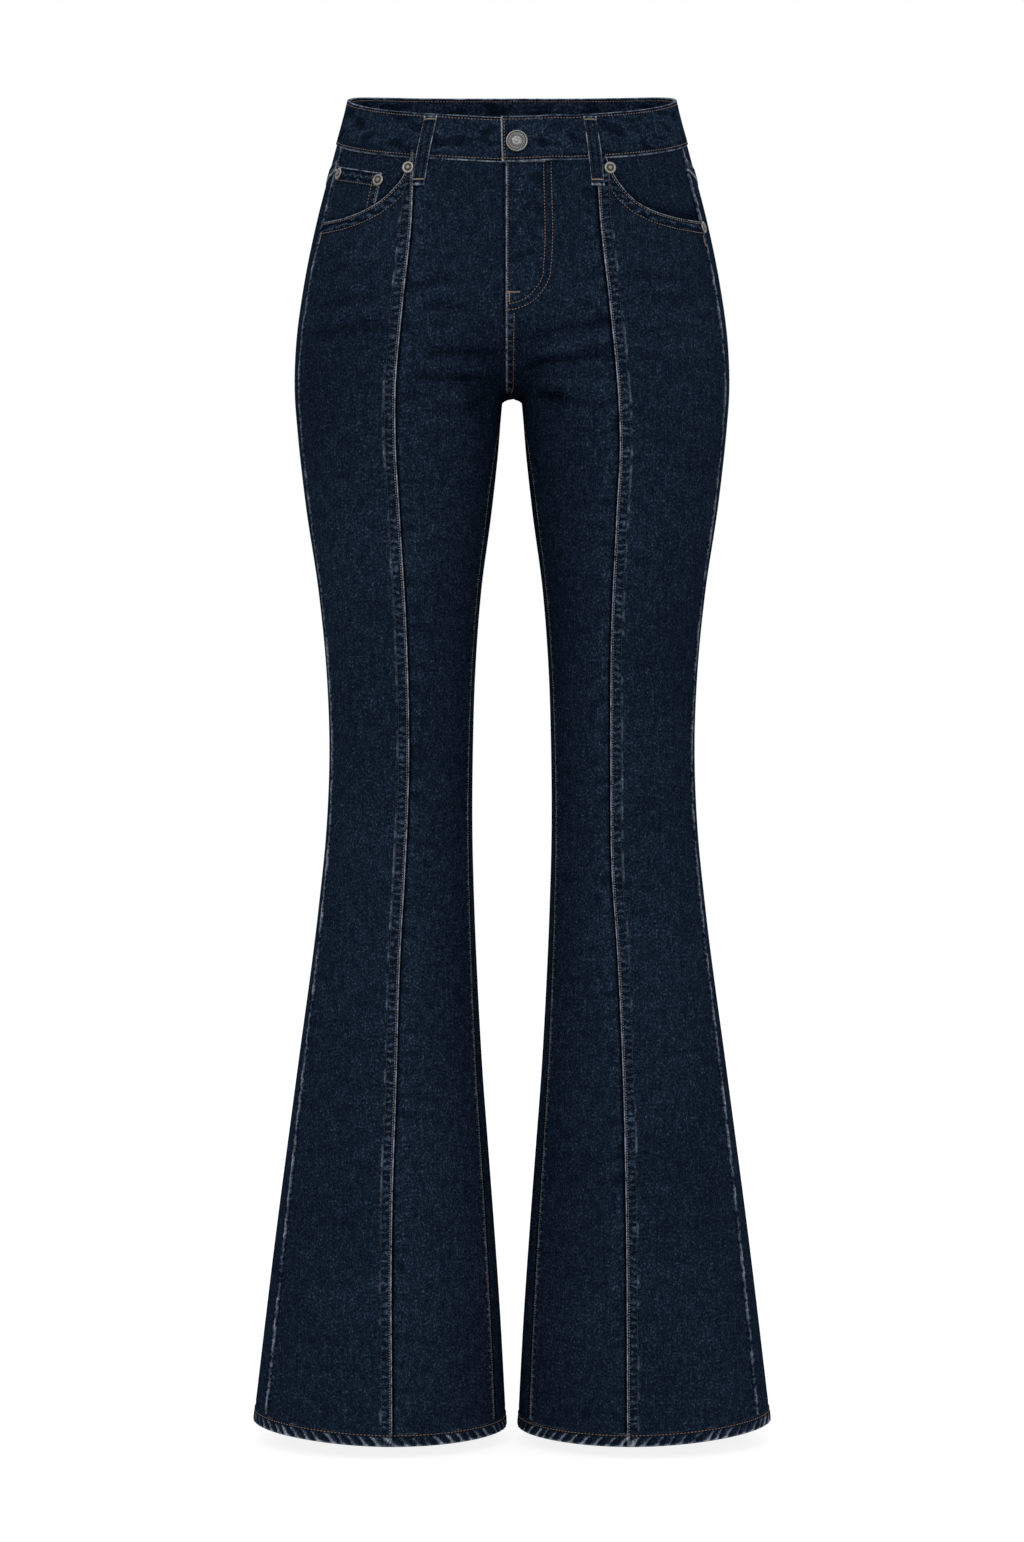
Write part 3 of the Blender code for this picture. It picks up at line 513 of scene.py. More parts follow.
SHEET = 1.0                 # denim's own thickness
UNDER = 0.35                # how far below the surface an edge runs under its neighbour
UNDERLAP = 8.0              # how far the front centre runs under the side front
BACK_UNDERLAP = 6.0         # and how far the other panels run under their neighbours
BAND_UNDERLAP = 4.0         # how far the panels' tops run up under the waistband
DOUBLE_REACH = 9.4          # a lapped seam's cloth is double this far from its fold
COLUMN_STEP = 3.0           # between a panel's columns, away from its edges
STITCH_IN = 1.9             # a row of stitches beside an edge, and the one beside it
STITCH_OUT = 8.2
FRONT_SEAM_ROWS = ((STITCH_IN, "pale"), (STITCH_OUT, "dim"))
THREAD_STAND = 0.12         # how far off the cloth a row's thread is laid
# Distances from an edge at which a panel has columns or rows: at a fold, and where it runs under
AT_FOLD = np.array([0.0, 0.35, 0.8, 1.4, 2.1, 2.9, 3.9, 5.2, 6.6, 7.6, 8.4, 9.3, 10.6, 12.5])
AT_MOUTH = np.array([0.0, 0.35, 0.8, 1.4, 2.1, 2.9, 3.9, 5.1, 6.4, 7.6, 8.6, 9.6, 11.0, 13.0])
AT_BAND = np.array([0.0, 2.5])
AT_YOKE = np.array([0.0, 3.5, 5.0, 5.8, 6.6, 7.6, 9.2, 11.5])
UNDER_FRONT = np.array([0.0, 4.0, 6.8, 7.6, 8.2, 8.9, 9.8, 11.5])
UNDER_SIDE = np.array([0.0, 3.5, 5.2, 6.0, 6.8, 7.8, 9.2, 11.5])
UNDER_BACK = np.array([0.0, 2.0, 4.2, 5.4, 6.2, 7.0, 8.0, 9.5, 11.5])


def gauss(distance, at, width):
    return np.exp(-(((distance - at) / width) ** 2))


WOBBLES = 512               # after this many steps the noise repeats


def wobble(t, seed, step=1.0):
    """Smooth noise of one number, from -1 to 1."""
    values = np.random.default_rng(seed).uniform(-1.0, 1.0, WOBBLES)
    t = np.asarray(t, float) / step
    low = np.floor(t).astype(int)
    share = smooth(t - low)
    return values[low % WOBBLES] * (1.0 - share) + values[(low + 1) % WOBBLES] * share


def folded(distance, radius=0.7):
    """How far a folded edge rounds away at this distance from it."""
    inside = np.clip(radius - distance, 0.0, radius)
    return np.sqrt(radius * radius - inside * inside) - radius


def run(points, axis):
    """Length along a grid of points, from its first row or column."""
    steps = np.linalg.norm(np.diff(points, axis=axis), axis=-1)
    start = np.zeros_like(np.take(steps, [0], axis=axis))
    return np.concatenate([start, np.cumsum(steps, axis=axis)], axis=axis)


# Creases, whiskers and drag lines: soft rises (lift above 0) and troughs between two places, in mm
# across the garment and up it; fade above 0 pales a rise (whisker wear and painted highlight), and below 0 is
# painted shade in a trough

# Facing (1 in front, -1 behind), the two places, width, lift, fade
CREASES = (
    (1, -74.0, -161.3, -30.7, -159.8, 3.9, -0.50, -0.35),
    (1, -70.9, -169.8, -35.3, -168.3, 3.9, 0.40, 0.25),
    (1, -67.1, -183.8, -33.8, -180.7, 4.6, -0.60, -0.45),
    (1, -80.2, -198.5, -35.3, -200.0, 4.6, 0.40, 0.18),
    (1, -64.7, -215.5, -13.6, -213.2, 4.6, -0.80, -0.50),
    (1, -74.8, -224.8, -23.7, -227.1, 3.9, 0.50, 0.30),
    (1, -75.6, -239.5, -2.8, -233.3, 4.6, -0.90, -0.55),
    (1, -70.9, -246.5, -32.2, -248.0, 3.9, 0.40, 0.20),
    (1, -41.5, -259.7, -2.8, -249.6, 5.4, -0.60, -0.35),
    (1, 15.8, -198.5, 77.7, -194.6, 4.6, -0.80, -0.50),
    (1, 22.0, -210.9, 77.7, -208.6, 4.6, 0.60, 0.40),
    (1, 9.6, -224.8, 77.7, -220.9, 4.6, -1.00, -0.60),
    (1, 14.2, -231.8, 71.5, -243.4, 3.9, 0.60, 0.35),
    (1, 6.5, -241.1, 53.0, -256.6, 5.4, -0.60, -0.35),
    (1, 15.8, -174.5, 68.4, -174.5, 5.4, 0.30, 0.10),
    (1, -130.5, -139.6, -101.9, -140.4, 3.1, 0.40, 0.30),
    (1, -149.9, -148.2, -101.9, -145.8, 3.9, -0.40, -0.25),
    (1, -154.6, -159.8, -101.9, -155.9, 3.9, 0.30, 0.15),
    (1, -146.8, -172.2, -100.3, -172.9, 3.9, -0.50, -0.30),
    (1, -155.3, -187.6, -101.9, -181.5, 4.6, 0.50, 0.30),
    (1, -155.3, -197.7, -100.3, -196.9, 4.6, -0.60, -0.40),
    (1, -159.2, -208.6, -100.3, -210.9, 3.9, 0.40, 0.30),
    (1, 90.1, -157.4, 127.3, -155.9, 3.9, -0.50, -0.35),
    (1, 93.2, -165.2, 127.3, -164.4, 3.1, 0.40, 0.30),
    (1, 91.7, -173.7, 133.5, -174.5, 3.9, -0.50, -0.30),
    (1, 93.2, -191.5, 155.2, -190.7, 3.1, 0.40, 0.30),
    (1, 90.1, -196.9, 114.9, -195.4, 3.9, -0.40, -0.30),
    (1, 96.3, -210.9, 150.5, -207.8, 3.1, 0.40, 0.25),
    (1, 99.4, -220.9, 145.9, -222.5, 4.6, -0.30, -0.15),
    (1, 11.9, -118.7, 13.5, -137.3, 3.1, -0.50, -0.30),
    (1, 7.3, -116.4, 8.8, -145.1, 3.1, 0.40, 0.35),
    (1, 22.8, -145.1, 22.0, -157.4, 3.9, 0.30, 0.30),
    (1, 6.5, -80.0, 0.3, -106.3, 3.1, 0.30, 0.30),
    (1, -33.8, -249.6, 0.3, -245.7, 10.8, -0.40, -0.50),
    (1, 0.3, -245.7, 39.0, -250.4, 10.8, -0.40, -0.50),
    (-1, -120.0, -262.0, -30.0, -286.0, 9.0, -1.4, -0.30),
    (-1, 28.0, -284.0, 122.0, -256.0, 9.0, -1.5, -0.30),
    (-1, -128.0, -276.0, -44.0, -303.0, 8.0, 1.0, 0.25),
    (-1, 40.0, -302.0, 130.0, -272.0, 8.0, 1.1, 0.25),
    (-1, -116.0, -300.0, -50.0, -322.0, 8.0, -0.9, -0.20),
    (-1, 52.0, -318.0, 118.0, -294.0, 8.0, -0.8, -0.20),
    (-1, -60.0, -236.0, -12.0, -256.0, 7.0, -1.0, -0.40),
    (-1, 12.0, -254.0, 66.0, -238.0, 7.0, -1.0, -0.40),
    (-1, -132.0, -540.0, -60.0, -552.0, 8.0, -1.1, -0.25),
    (-1, 56.0, -548.0, 128.0, -534.0, 8.0, -1.2, -0.25),
    (-1, -126.0, -556.0, -50.0, -570.0, 8.0, 0.9, 0.20),
    (-1, 62.0, -568.0, 134.0, -552.0, 8.0, 0.9, 0.20),
    (-1, -120.0, -584.0, -64.0, -590.0, 9.0, -0.9, -0.20),
    (-1, 50.0, -592.0, 116.0, -580.0, 9.0, -0.8, -0.20),
    (-1, -110.0, -520.0, -58.0, -516.0, 7.0, 0.6, 0.15),
    (-1, 66.0, -512.0, 120.0, -520.0, 7.0, 0.6, 0.15),
    (1, -128.0, -560.0, -92.0, -574.0, 9.0, -0.5, -0.12),
    (1, 96.0, -566.0, 132.0, -556.0, 9.0, -0.5, -0.12),
    (1, -66.0, -545.0, -40.0, -560.0, 9.0, 0.5, 0.10),
    (1, 44.0, -552.0, 70.0, -570.0, 9.0, 0.5, 0.10),
)
CREASE_BOW = 3.0            # a crease is bent by this much in its middle
END_SOFTNESS = 0.28         # and dies away over this share of its length at each end


def creases(points, away):
    """Lift and fade that the creases give at points of the garment, where it faces their way: fade pales rises
    with wear and painted highlight, and gives troughs painted shade.
    """
    lift = np.zeros(points.shape[:-1])
    fade = np.zeros(points.shape[:-1])
    x, y, z = np.moveaxis(points, -1, 0)
    for number, (facing, x1, z1, x2, z2, width, height, shade) in enumerate(CREASES):
        seen = smooth((-facing * y - 8.0) / 30.0) * smooth((-facing * away[..., 1] - 0.25) / 0.5)
        length = math.hypot(x2 - x1, z2 - z1)
        along = ((x - x1) * (x2 - x1) + (z - z1) * (z2 - z1)) / (length * length)
        aside = ((z - z1) * (x2 - x1) - (x - x1) * (z2 - z1)) / length
        bend = CREASE_BOW * wobble(number * 7.3 + along * 2.2, 11)
        ends = smooth(along / END_SOFTNESS + 0.6) * smooth((1.0 - along) / END_SOFTNESS + 0.6)
        form = gauss(aside, bend, width * (0.8 + 0.3 * wobble(along * 3.0 + number, 12))) * ends * seen
        lift += height * form
        fade += shade * form
    return lift, fade


# Meshes

PIECES = []
CHART_STEP = np.array([0.37, 0.53])         # keeps each piece's pattern its own
# Marks on each point of cloth: wear with some painted highlight, painted shade, and puckers and crumples,
# whose bumps the shader also paints as light and shade
MARKS = ("wear_and_highlight", "painted_shade_and_patina", "pucker", "crumple")
FOLD_SHARPNESS = 62.0       # edges that turn by more than this are drawn sharp, on cloth and on metal
METAL_SHARPNESS = 50.0


def linked(name, mesh):
    piece = bpy.data.objects.new(name, mesh)
    bpy.context.collection.objects.link(piece)
    return piece


def shell(name, outer, inner, side, chart, values, ours=False, loop=False,
          cloth="denim", lining="denim_reverse"):
    """A closed sheet of cloth between two grids of points. chart is its cloth map in mm, values its shading.

    It replaces the solid of the same name, unless it is ours: a piece that no solid stands for.
    """
    rows, across = outer.shape[:2]
    count = rows * across
    number = np.arange(count).reshape(rows, across)
    if loop:
        number = np.concatenate([number, number[:, :1]], axis=1)
    quads = np.stack([number[:-1, :-1], number[:-1, 1:], number[1:, 1:], number[1:, :-1]], axis=-1)
    quads = quads.reshape(-1, 4)
    if loop:
        border = [(number[0, i], number[0, i + 1]) for i in range(across)]
        border += [(number[-1, i + 1], number[-1, i]) for i in range(across)]
    else:
        ring = list(number[0]) + list(number[1:, -1]) + list(number[-1, -2::-1]) + list(number[-2:0:-1, 0])
        border = list(zip(ring, ring[1:] + ring[:1]))
    rim = np.array([(b, a, a + count, b + count) for a, b in border])
    faces = np.concatenate([quads, quads[:, ::-1] + count, rim])
    points = np.concatenate([outer.reshape(-1, 3), inner.reshape(-1, 3)]) * mirrored(side)
    corner = points[quads]
    square = np.cross(corner[:, 2] - corner[:, 0], corner[:, 3] - corner[:, 1])
    out = points[quads[:, 0]] - points[quads[:, 0] + count]
    if (square * out).sum() < 0.0:
        faces = faces[:, ::-1]
    mesh = bpy.data.meshes.new(name)
    mesh.from_pydata((points * MM).tolist(), [], faces.tolist())
    flat = np.concatenate([chart.reshape(-1, 2)] * 2) * MM + len(PIECES) * CHART_STEP
    layer = mesh.uv_layers.new(name="Cloth")
    corners = np.zeros(len(mesh.loops), np.int32)
    mesh.loops.foreach_get("vertex_index", corners)
    layer.data.foreach_set("uv", flat[corners].astype(np.float32).ravel())
    for key in MARKS:
        attribute = mesh.attributes.new(key, "FLOAT", "POINT")
        held = np.broadcast_to(values.get(key, 0.0), (rows, across)).reshape(-1)
        attribute.data.foreach_set("value", np.concatenate([held, held]).astype(np.float32))
    mesh.materials.append(MATERIALS[cloth])
    mesh.materials.append(MATERIALS[lining])
    inside = np.zeros(len(faces), np.int32)
    inside[len(quads):2 * len(quads)] = 1
    mesh.polygons.foreach_set("material_index", inside)
    mesh.shade_smooth()
    mesh.set_sharp_from_angle(angle=math.radians(FOLD_SHARPNESS))
    middle = (outer + inner) / 2.0
    wide = float(run(middle, 1)[:, -1].max()) * MM
    long = float(run(middle, 0)[-1].max()) * MM
    sides = middle[1:, 1:] - middle[:-1, :-1], middle[1:, :-1] - middle[:-1, 1:]
    area = float(np.linalg.norm(np.cross(*sides), axis=-1).sum()) / 2.0 * MM * MM
    PIECES.append((linked(name, mesh), [] if ours else [name], (wide, long, area)))


def cloth_chart(points):
    """A small piece's cloth map: lengths along its rows and down its columns."""
    return np.stack([run(points, 1), run(points, 0)], axis=-1)


def grain_chart(points, middle):
    """A long panel's cloth map: its warp hangs straight down, and it starts at this distance across."""
    along = run(points, 1)
    start = np.empty(len(points))
    for i, across in enumerate(points[..., 0]):
        near = int(np.argmin(np.abs(across - middle)))
        start[i] = along[i, near] + (middle - across[near]) * np.sign(across[-1] - across[0])
    return np.stack([along - start[:, None], -points[..., 2]], axis=-1)


# Rows of stitches, gathered here and sewn at the end

ROWS = {}


def sew(group, thread, line, ups, side=1, stand=THREAD_STAND):
    """Adds a row along a line on the cloth; ups are the ways out of it, and stand how far off it is laid."""
    mirror = mirrored(side)
    ROWS.setdefault((group, thread), []).append(((line + ups * stand) * mirror, ups * mirror))


def seat(points, lift):
    """Points moved onto the cloth's surface, this far off it, and the way out of it."""
    z = points[..., 2]
    on = surface(angle_of(points), z)
    away = outward(on)
    return on + away * np.asarray(lift)[..., None], away


def offset_line(line, distance, lift):
    """A line beside another one, to the right of its run, and this far off the cloth."""
    on, away = seat(line, np.zeros(len(line)))
    along = np.gradient(on, axis=0)
    aside = np.cross(along, away)
    aside = aside / np.linalg.norm(aside, axis=-1, keepdims=True)
    return seat(on + aside * distance, np.full(len(line), lift))


def front_line(places, count=220):
    """A smooth line on the front through places given across and up, and the ways out of the cloth."""
    places = np.array(places)
    steps = np.concatenate([[0.0], np.cumsum(np.linalg.norm(np.diff(places, axis=0), axis=1))])
    t = np.linspace(0.0, steps[-1], count)
    if len(places) > 2:
        x = curve_through(steps, places[:, 0])(t)
        z = curve_through(steps, places[:, 1])(t)
    else:
        x, z = np.interp(t, steps, places[:, 0]), np.interp(t, steps, places[:, 1])
    return across_middle(x, z, 1)


def row_at(at, distance, *grids):
    """Each grid's values along the line at one distance; distances rise or fall along every row."""
    if distance[0, 0] > distance[0, -1]:
        distance, grids = distance[:, ::-1], [grid[:, ::-1] for grid in grids]
    return [np.array([[np.interp(at, beside, value) for value in np.atleast_2d(row.T)]
                      for beside, row in zip(distance, grid)]) for grid in grids]


def sew_beside(group, thread, side, sheet, distance, at, top=np.inf, foot=-np.inf):
    """Sews a row on a panel's outer sheet at one distance from its edge, between two heights."""
    line, ups = row_at(at, distance, *sheet)
    keep = (line[:, 2] < top) & (line[:, 2] > foot)
    sew(group, thread, line[keep], ups[keep], side)


# Long panels


def panel_shares(edge_a, edge_b, near_a, near_b, levels):
    """Where a panel's columns stand: crowded at its two edges, and even between them."""
    start, end = edge_a(levels)[:, None], edge_b(levels)[:, None]
    sampled = surface(start + np.linspace(0.0, 1.0, 25) * (end - start), levels[:, None])
    width = run(sampled, 1)[:, -1:]
    count = int(np.ceil((width.max() - near_a[-1] - near_b[-1]) / COLUMN_STEP))
    between = np.linspace(0.0, 1.0, count + 1)[1:-1]
    first, last = near_a / width, 1.0 - near_b[::-1] / width
    middle = first[:, -1:] + between * (last[:, :1] - first[:, -1:])
    return np.concatenate([first, middle, last], axis=1)


def lapped(distance, height, reach):
    """A doubled edge: it rounds at its fold, stands proud, and falls back to the cloth past its reach."""
    return height * (1.0 - smooth((distance - reach) / 2.0)) + folded(distance)


def tucked(distance, under, depth=UNDER):
    """An edge that runs under its neighbour for its first few millimetres."""
    return -depth * (1.0 - smooth((distance - under + 0.8) / 1.6))


def pressed(distance, at, depth=0.38):
    """The groove that a row of stitches pulls."""
    return -depth * gauss(distance, at, 0.75)


# Crumples give the cloth a bump, and the shader also paints highlights on their ridges and shade in their
# hollows.
CRUMPLE = 0.16              # how crumpled the panels are, where 1 is the waistband
HEM_CLEAR = 11.0            # from here down a leg's panels lie under the turned-up hem
UNDER_HEM = 0.45            # and this far below the surface
SEW_CLEAR = 8.0             # a leg's rows stop this far above the hem


def laid(angle, z):
    """A panel's points, the ways out of them, and their distances along the rows from both its side edges."""
    points = surface(angle, z)
    near = run(points, 1)
    return points, outward(points), near, near[:, -1:] - near


def dressed(name, side, points, away, lift, chart, wear_and_highlight, painted_shade_and_patina, pucker, crumple=CRUMPLE):
    """Adds the creases to a panel and makes its shell; gives back its outer sheet and the ways out of it."""
    mirror = mirrored(side)
    bend, fade = creases(points * mirror, away * mirror)
    x, y, z = np.moveaxis(points, -1, 0)
    angle = np.degrees(np.arctan2(DEPTH(z) - y, x - AXIS(z)))
    clear = smooth((z - hem(angle) - HEM_CLEAR) / 3.0)
    lift = lift * clear - UNDER_HEM * (1.0 - clear)
    outer = points + away * (lift + bend)[..., None]
    # The creases' fade: rises paled by whisker wear and painted highlight, troughs given painted shade.
    wear_and_highlight = np.clip(wear_and_highlight + np.minimum(np.maximum(fade, 0.0) * 0.55, 0.2), 0.0, 1.0)
    painted_shade_and_patina = np.clip(painted_shade_and_patina + np.maximum(-fade, 0.0) * 0.9, 0.0, 1.0)
    values = {"wear_and_highlight": wear_and_highlight, "painted_shade_and_patina": painted_shade_and_patina, "pucker": pucker, "crumple": crumple}
    shell(name, outer, outer - away * SHEET, side, chart, values)
    return outer, away


def spot(points, x, z, width, height):
    """A soft round patch about a place across and up."""
    return gauss(np.hypot((points[..., 0] - x) / width, (points[..., 2] - z) / height), 0.0, 1.0)


def inner_shade(angle):
    """Painted shade on the inner thighs and round the crotch."""
    return 0.12 * smooth((np.abs(angle) - 108.0) / 60.0)


def inner_strip(angle, z):
    """The narrow strip beside the inseam, which faces the other leg; the panels paint it lighter there, a
    painted highlight against the other leg's shade.
    """
    return smooth((np.abs(angle) - 138.0) / 24.0) * smooth((CROTCH - 6.0 - z) / 22.0)


def under_band(angle):
    """The top edge of a panel that the waistband holds."""
    return band_bottom(angle) + BAND_UNDERLAP


def twin_sewn(distance, height):
    """A lapped seam that two rows hold."""
    lift = lapped(distance, height, DOUBLE_REACH)
    return lift + pressed(distance, STITCH_IN) + pressed(distance, STITCH_OUT)


def twin_shade(distance):
    """Painted shade in those rows' grooves."""
    return 0.5 * (gauss(distance, STITCH_IN, 0.7) + gauss(distance, STITCH_OUT, 0.8))


FLY_EDGE_ROW = 1.6          # the row along the fly's edge, and the one beside it below the fly
FLY_FOOT_ROW = 7.2


def front_centre(name, side):
    over = side > 0

    def seam(z):
        angle = front_seam_angle(z, side)
        return angle - arc_angle(UNDERLAP, angle, z)

    def middle(z):
        return centre_edge(z, side, 1, 0.0 if over else BACK_UNDERLAP)

    inner, even = row_heights(AT_BAND)
    shares = panel_shares(seam, middle, UNDER_FRONT, AT_FOLD, even)
    angle, z = long_grid(seam, middle, shares, under_band, inner, even)
    points, away, near, far = laid(angle, z)
    below_fly = z < FLY_FOOT
    rise = smooth((from_crotch(z[:, -1:], 1) - 2.0) / 14.0)
    on_leg = smooth((CROTCH - z) / 12.0)
    if over:
        height = 0.65 - 0.25 * smooth((z - FLY_FOOT) / 30.0)
        middle_lift = (lapped(far, height, 8.2) + pressed(far, FLY_EDGE_ROW)
                       + pressed(far, FLY_FOOT_ROW, 0.25) * below_fly)
    else:
        middle_lift = tucked(far, BACK_UNDERLAP)
    inseam_lift = lapped(far, 0.4, 4.0) + pressed(far, STITCH_IN)
    lift = tucked(near, UNDERLAP) + middle_lift * rise + inseam_lift * (1.0 - rise)
    lumps = wobble(-z, 21, 6.0)
    wear_and_highlight = 0.95 * gauss(far, 0.4, 0.55) * over * rise + (0.42 + 0.2 * lumps) * gauss(far, 3.3, 0.9) * on_leg
    wear_and_highlight = wear_and_highlight + 0.15 * (1.0 - smooth((far - 7.6) / 1.6)) * rise * below_fly * over
    # A painted highlight on the strip beside the inseam, which would lie in the other leg's shade.
    wear_and_highlight = wear_and_highlight + 0.13 * inner_strip(angle, z)
    wear_and_highlight = wear_and_highlight + 0.16 * gauss(near, 15.0, 7.0) * smooth((-z - 60.0) / 60.0) * 0.4
    # Painted shadows where the cloth comes out from under the side front, along its inseam edge and past the
    # other half's edge; painted shade on the inner thighs and round the crotch.
    painted_shade_and_patina = 1.1 * gauss(near, UNDERLAP + 0.8, 1.1) + 0.75 * gauss(far, 0.0, 0.9) * on_leg
    if not over:
        painted_shade_and_patina = painted_shade_and_patina + 0.9 * gauss(far, BACK_UNDERLAP + 0.9, 1.1) * rise
    painted_shade_and_patina = painted_shade_and_patina + inner_shade(angle) + 0.16 * spot(points, 0.0, -230.0, 62.0, 36.0)
    pucker = (1.0 - smooth((far - 4.0) / 4.0)) * (1.0 - rise * (z > FLY_FOOT))
    in_fly = smooth((36.0 - far) / 10.0) * smooth((z - FLY_FOOT) / 12.0) * over
    crumple = CRUMPLE + 0.45 * in_fly + 0.35 * gauss(near, UNDERLAP + 6.0, 7.0)
    sheet = dressed("front_centre_" + name, side, points, away, lift, grain_chart(points, 55.0),
                    wear_and_highlight, painted_shade_and_patina, pucker, crumple)
    sew_beside(name + "_leg", "pale", side, sheet, far, STITCH_IN, CROTCH - SEW_CLEAR, HEM_HEIGHT + SEW_CLEAR)
    if over:
        foot = CROTCH + 0.4
        sew_beside("waist", "pale", side, sheet, far, FLY_EDGE_ROW, band_bottom(MIDDLE_ANGLE) - 1.0, foot)
        sew_beside("waist", "tan", side, sheet, far, FLY_FOOT_ROW, FLY_FOOT - 4.0, foot)


MOUTH_COUNT = 140           # places along a pocket's mouth
MOUTH_ROWS = (2.0, 9.4)     # its two rows of stitches
MOUTH_STAND = 0.42          # and how far off the surface they are laid
MOUTH_LEVEL = -150.0        # the mouth isn't felt below this height
NOT_FELT = 99.0
NEAREST_AT_ONCE = 4000


def mouth_line(side):
    """The front pocket's mouth, from the waistband down and out to the side seam."""
    angle = np.linspace(mouth_table(side)[0][-1], SIDE_SEAM_ANGLE, MOUTH_COUNT)
    z = np.minimum(mouth_height(angle, side), under_band(angle))
    length = run(surface(angle, z), 0)
    even = np.linspace(0.0, length[-1], MOUTH_COUNT)
    return surface(np.interp(even, length, angle), np.interp(even, length, z))


def nearest(points, line):
    """Distance from each point of a list to a line of points."""
    start, step = line[:-1], np.diff(line, axis=0)
    found = []
    for first in range(0, len(points), NEAREST_AT_ONCE):
        part = points[first:first + NEAREST_AT_ONCE, None, :] - start
        share = np.clip((part * step).sum(-1) / (step * step).sum(-1), 0.0, 1.0)
        found.append(np.linalg.norm(part - share[..., None] * step, axis=-1).min(axis=1))
    return np.concatenate(found)


def front_side(name, side):
    def seam(z):
        return front_seam_angle(z, side)

    def outside(z):
        edge = side_edge(z, 1)
        return edge - arc_angle(BACK_UNDERLAP, edge, z)

    def top(angle):
        return np.minimum(under_band(angle), mouth_height(angle, side))

    inner, even = row_heights(AT_MOUTH)
    shares = panel_shares(seam, outside, AT_FOLD, UNDER_SIDE, even)
    angle, z = long_grid(seam, outside, shares, top, inner, even, inner_edge=False)
    points, away, near, far = laid(angle, z)
    mouth = mouth_line(side)
    high = z > MOUTH_LEVEL
    from_mouth = np.full(z.shape, NOT_FELT)
    from_mouth[high] = nearest(points[high], mouth)
    mouth_lift = lapped(from_mouth, 0.5, 10.0)
    for at in MOUTH_ROWS:
        mouth_lift = mouth_lift + pressed(from_mouth, at)
    side_lift = tucked(far, BACK_UNDERLAP, 0.75) - 0.35 * gauss(far, BACK_UNDERLAP + 1.5, 2.5)
    lift = twin_sewn(near, 0.85) + mouth_lift + side_lift
    lumps = wobble(-z, 31 + side, 6.0)
    band = 1.0 - smooth((near - 8.6) / 2.0)
    wear_and_highlight = 0.9 * gauss(near, 0.35, 0.5) + band * (0.12 + 0.10 * lumps) + 0.9 * gauss(from_mouth, 0.4, 0.55)
    wear_and_highlight = wear_and_highlight + (0.24 + 0.16 * lumps) * gauss(near, 9.3, 1.0)
    # Painted shade in the grooves of the seam's and the mouth's rows, and painted shadow beside the back's
    # edge.
    painted_shade_and_patina = 0.45 * gauss(near, STITCH_IN, 0.7) + 0.55 * gauss(near, STITCH_OUT + 0.2, 0.8)
    painted_shade_and_patina = painted_shade_and_patina + 0.5 * gauss(from_mouth, 2.2, 0.7) + 0.5 * gauss(from_mouth, 9.9, 0.8)
    painted_shade_and_patina = painted_shade_and_patina + 0.55 * gauss(far, BACK_UNDERLAP + 0.8, 1.0)
    mouth_band = smooth((from_mouth - 2.0) / 1.5) * (1.0 - smooth((from_mouth - 8.2) / 1.5)) * high
    seam_band = smooth((near - 2.0) / 1.2) * (1.0 - smooth((near - 7.6) / 1.2))
    side_band = 1.0 - smooth((far - BACK_UNDERLAP - 1.0) / 7.0)
    pucker = np.clip(seam_band * 0.8 + mouth_band + side_band * 0.6, 0.0, 1.0)
    sheet = dressed("front_side_" + name, side, points, away, lift, grain_chart(points, 120.0),
                    wear_and_highlight, painted_shade_and_patina + inner_shade(angle), pucker)
    for at, thread in FRONT_SEAM_ROWS:
        sew_beside(name + "_leg", thread, side, sheet, near, at, -58.0, HEM_HEIGHT + SEW_CLEAR)
    for at in MOUTH_ROWS:
        line, ups = offset_line(mouth, at, MOUTH_STAND)
        keep = (line[:, 2] < band_bottom(90.0) - 4.0) & (line[:, 0] > 0.0)
        sew("pockets", "tan", line[keep], ups[keep], side, stand=0.0)


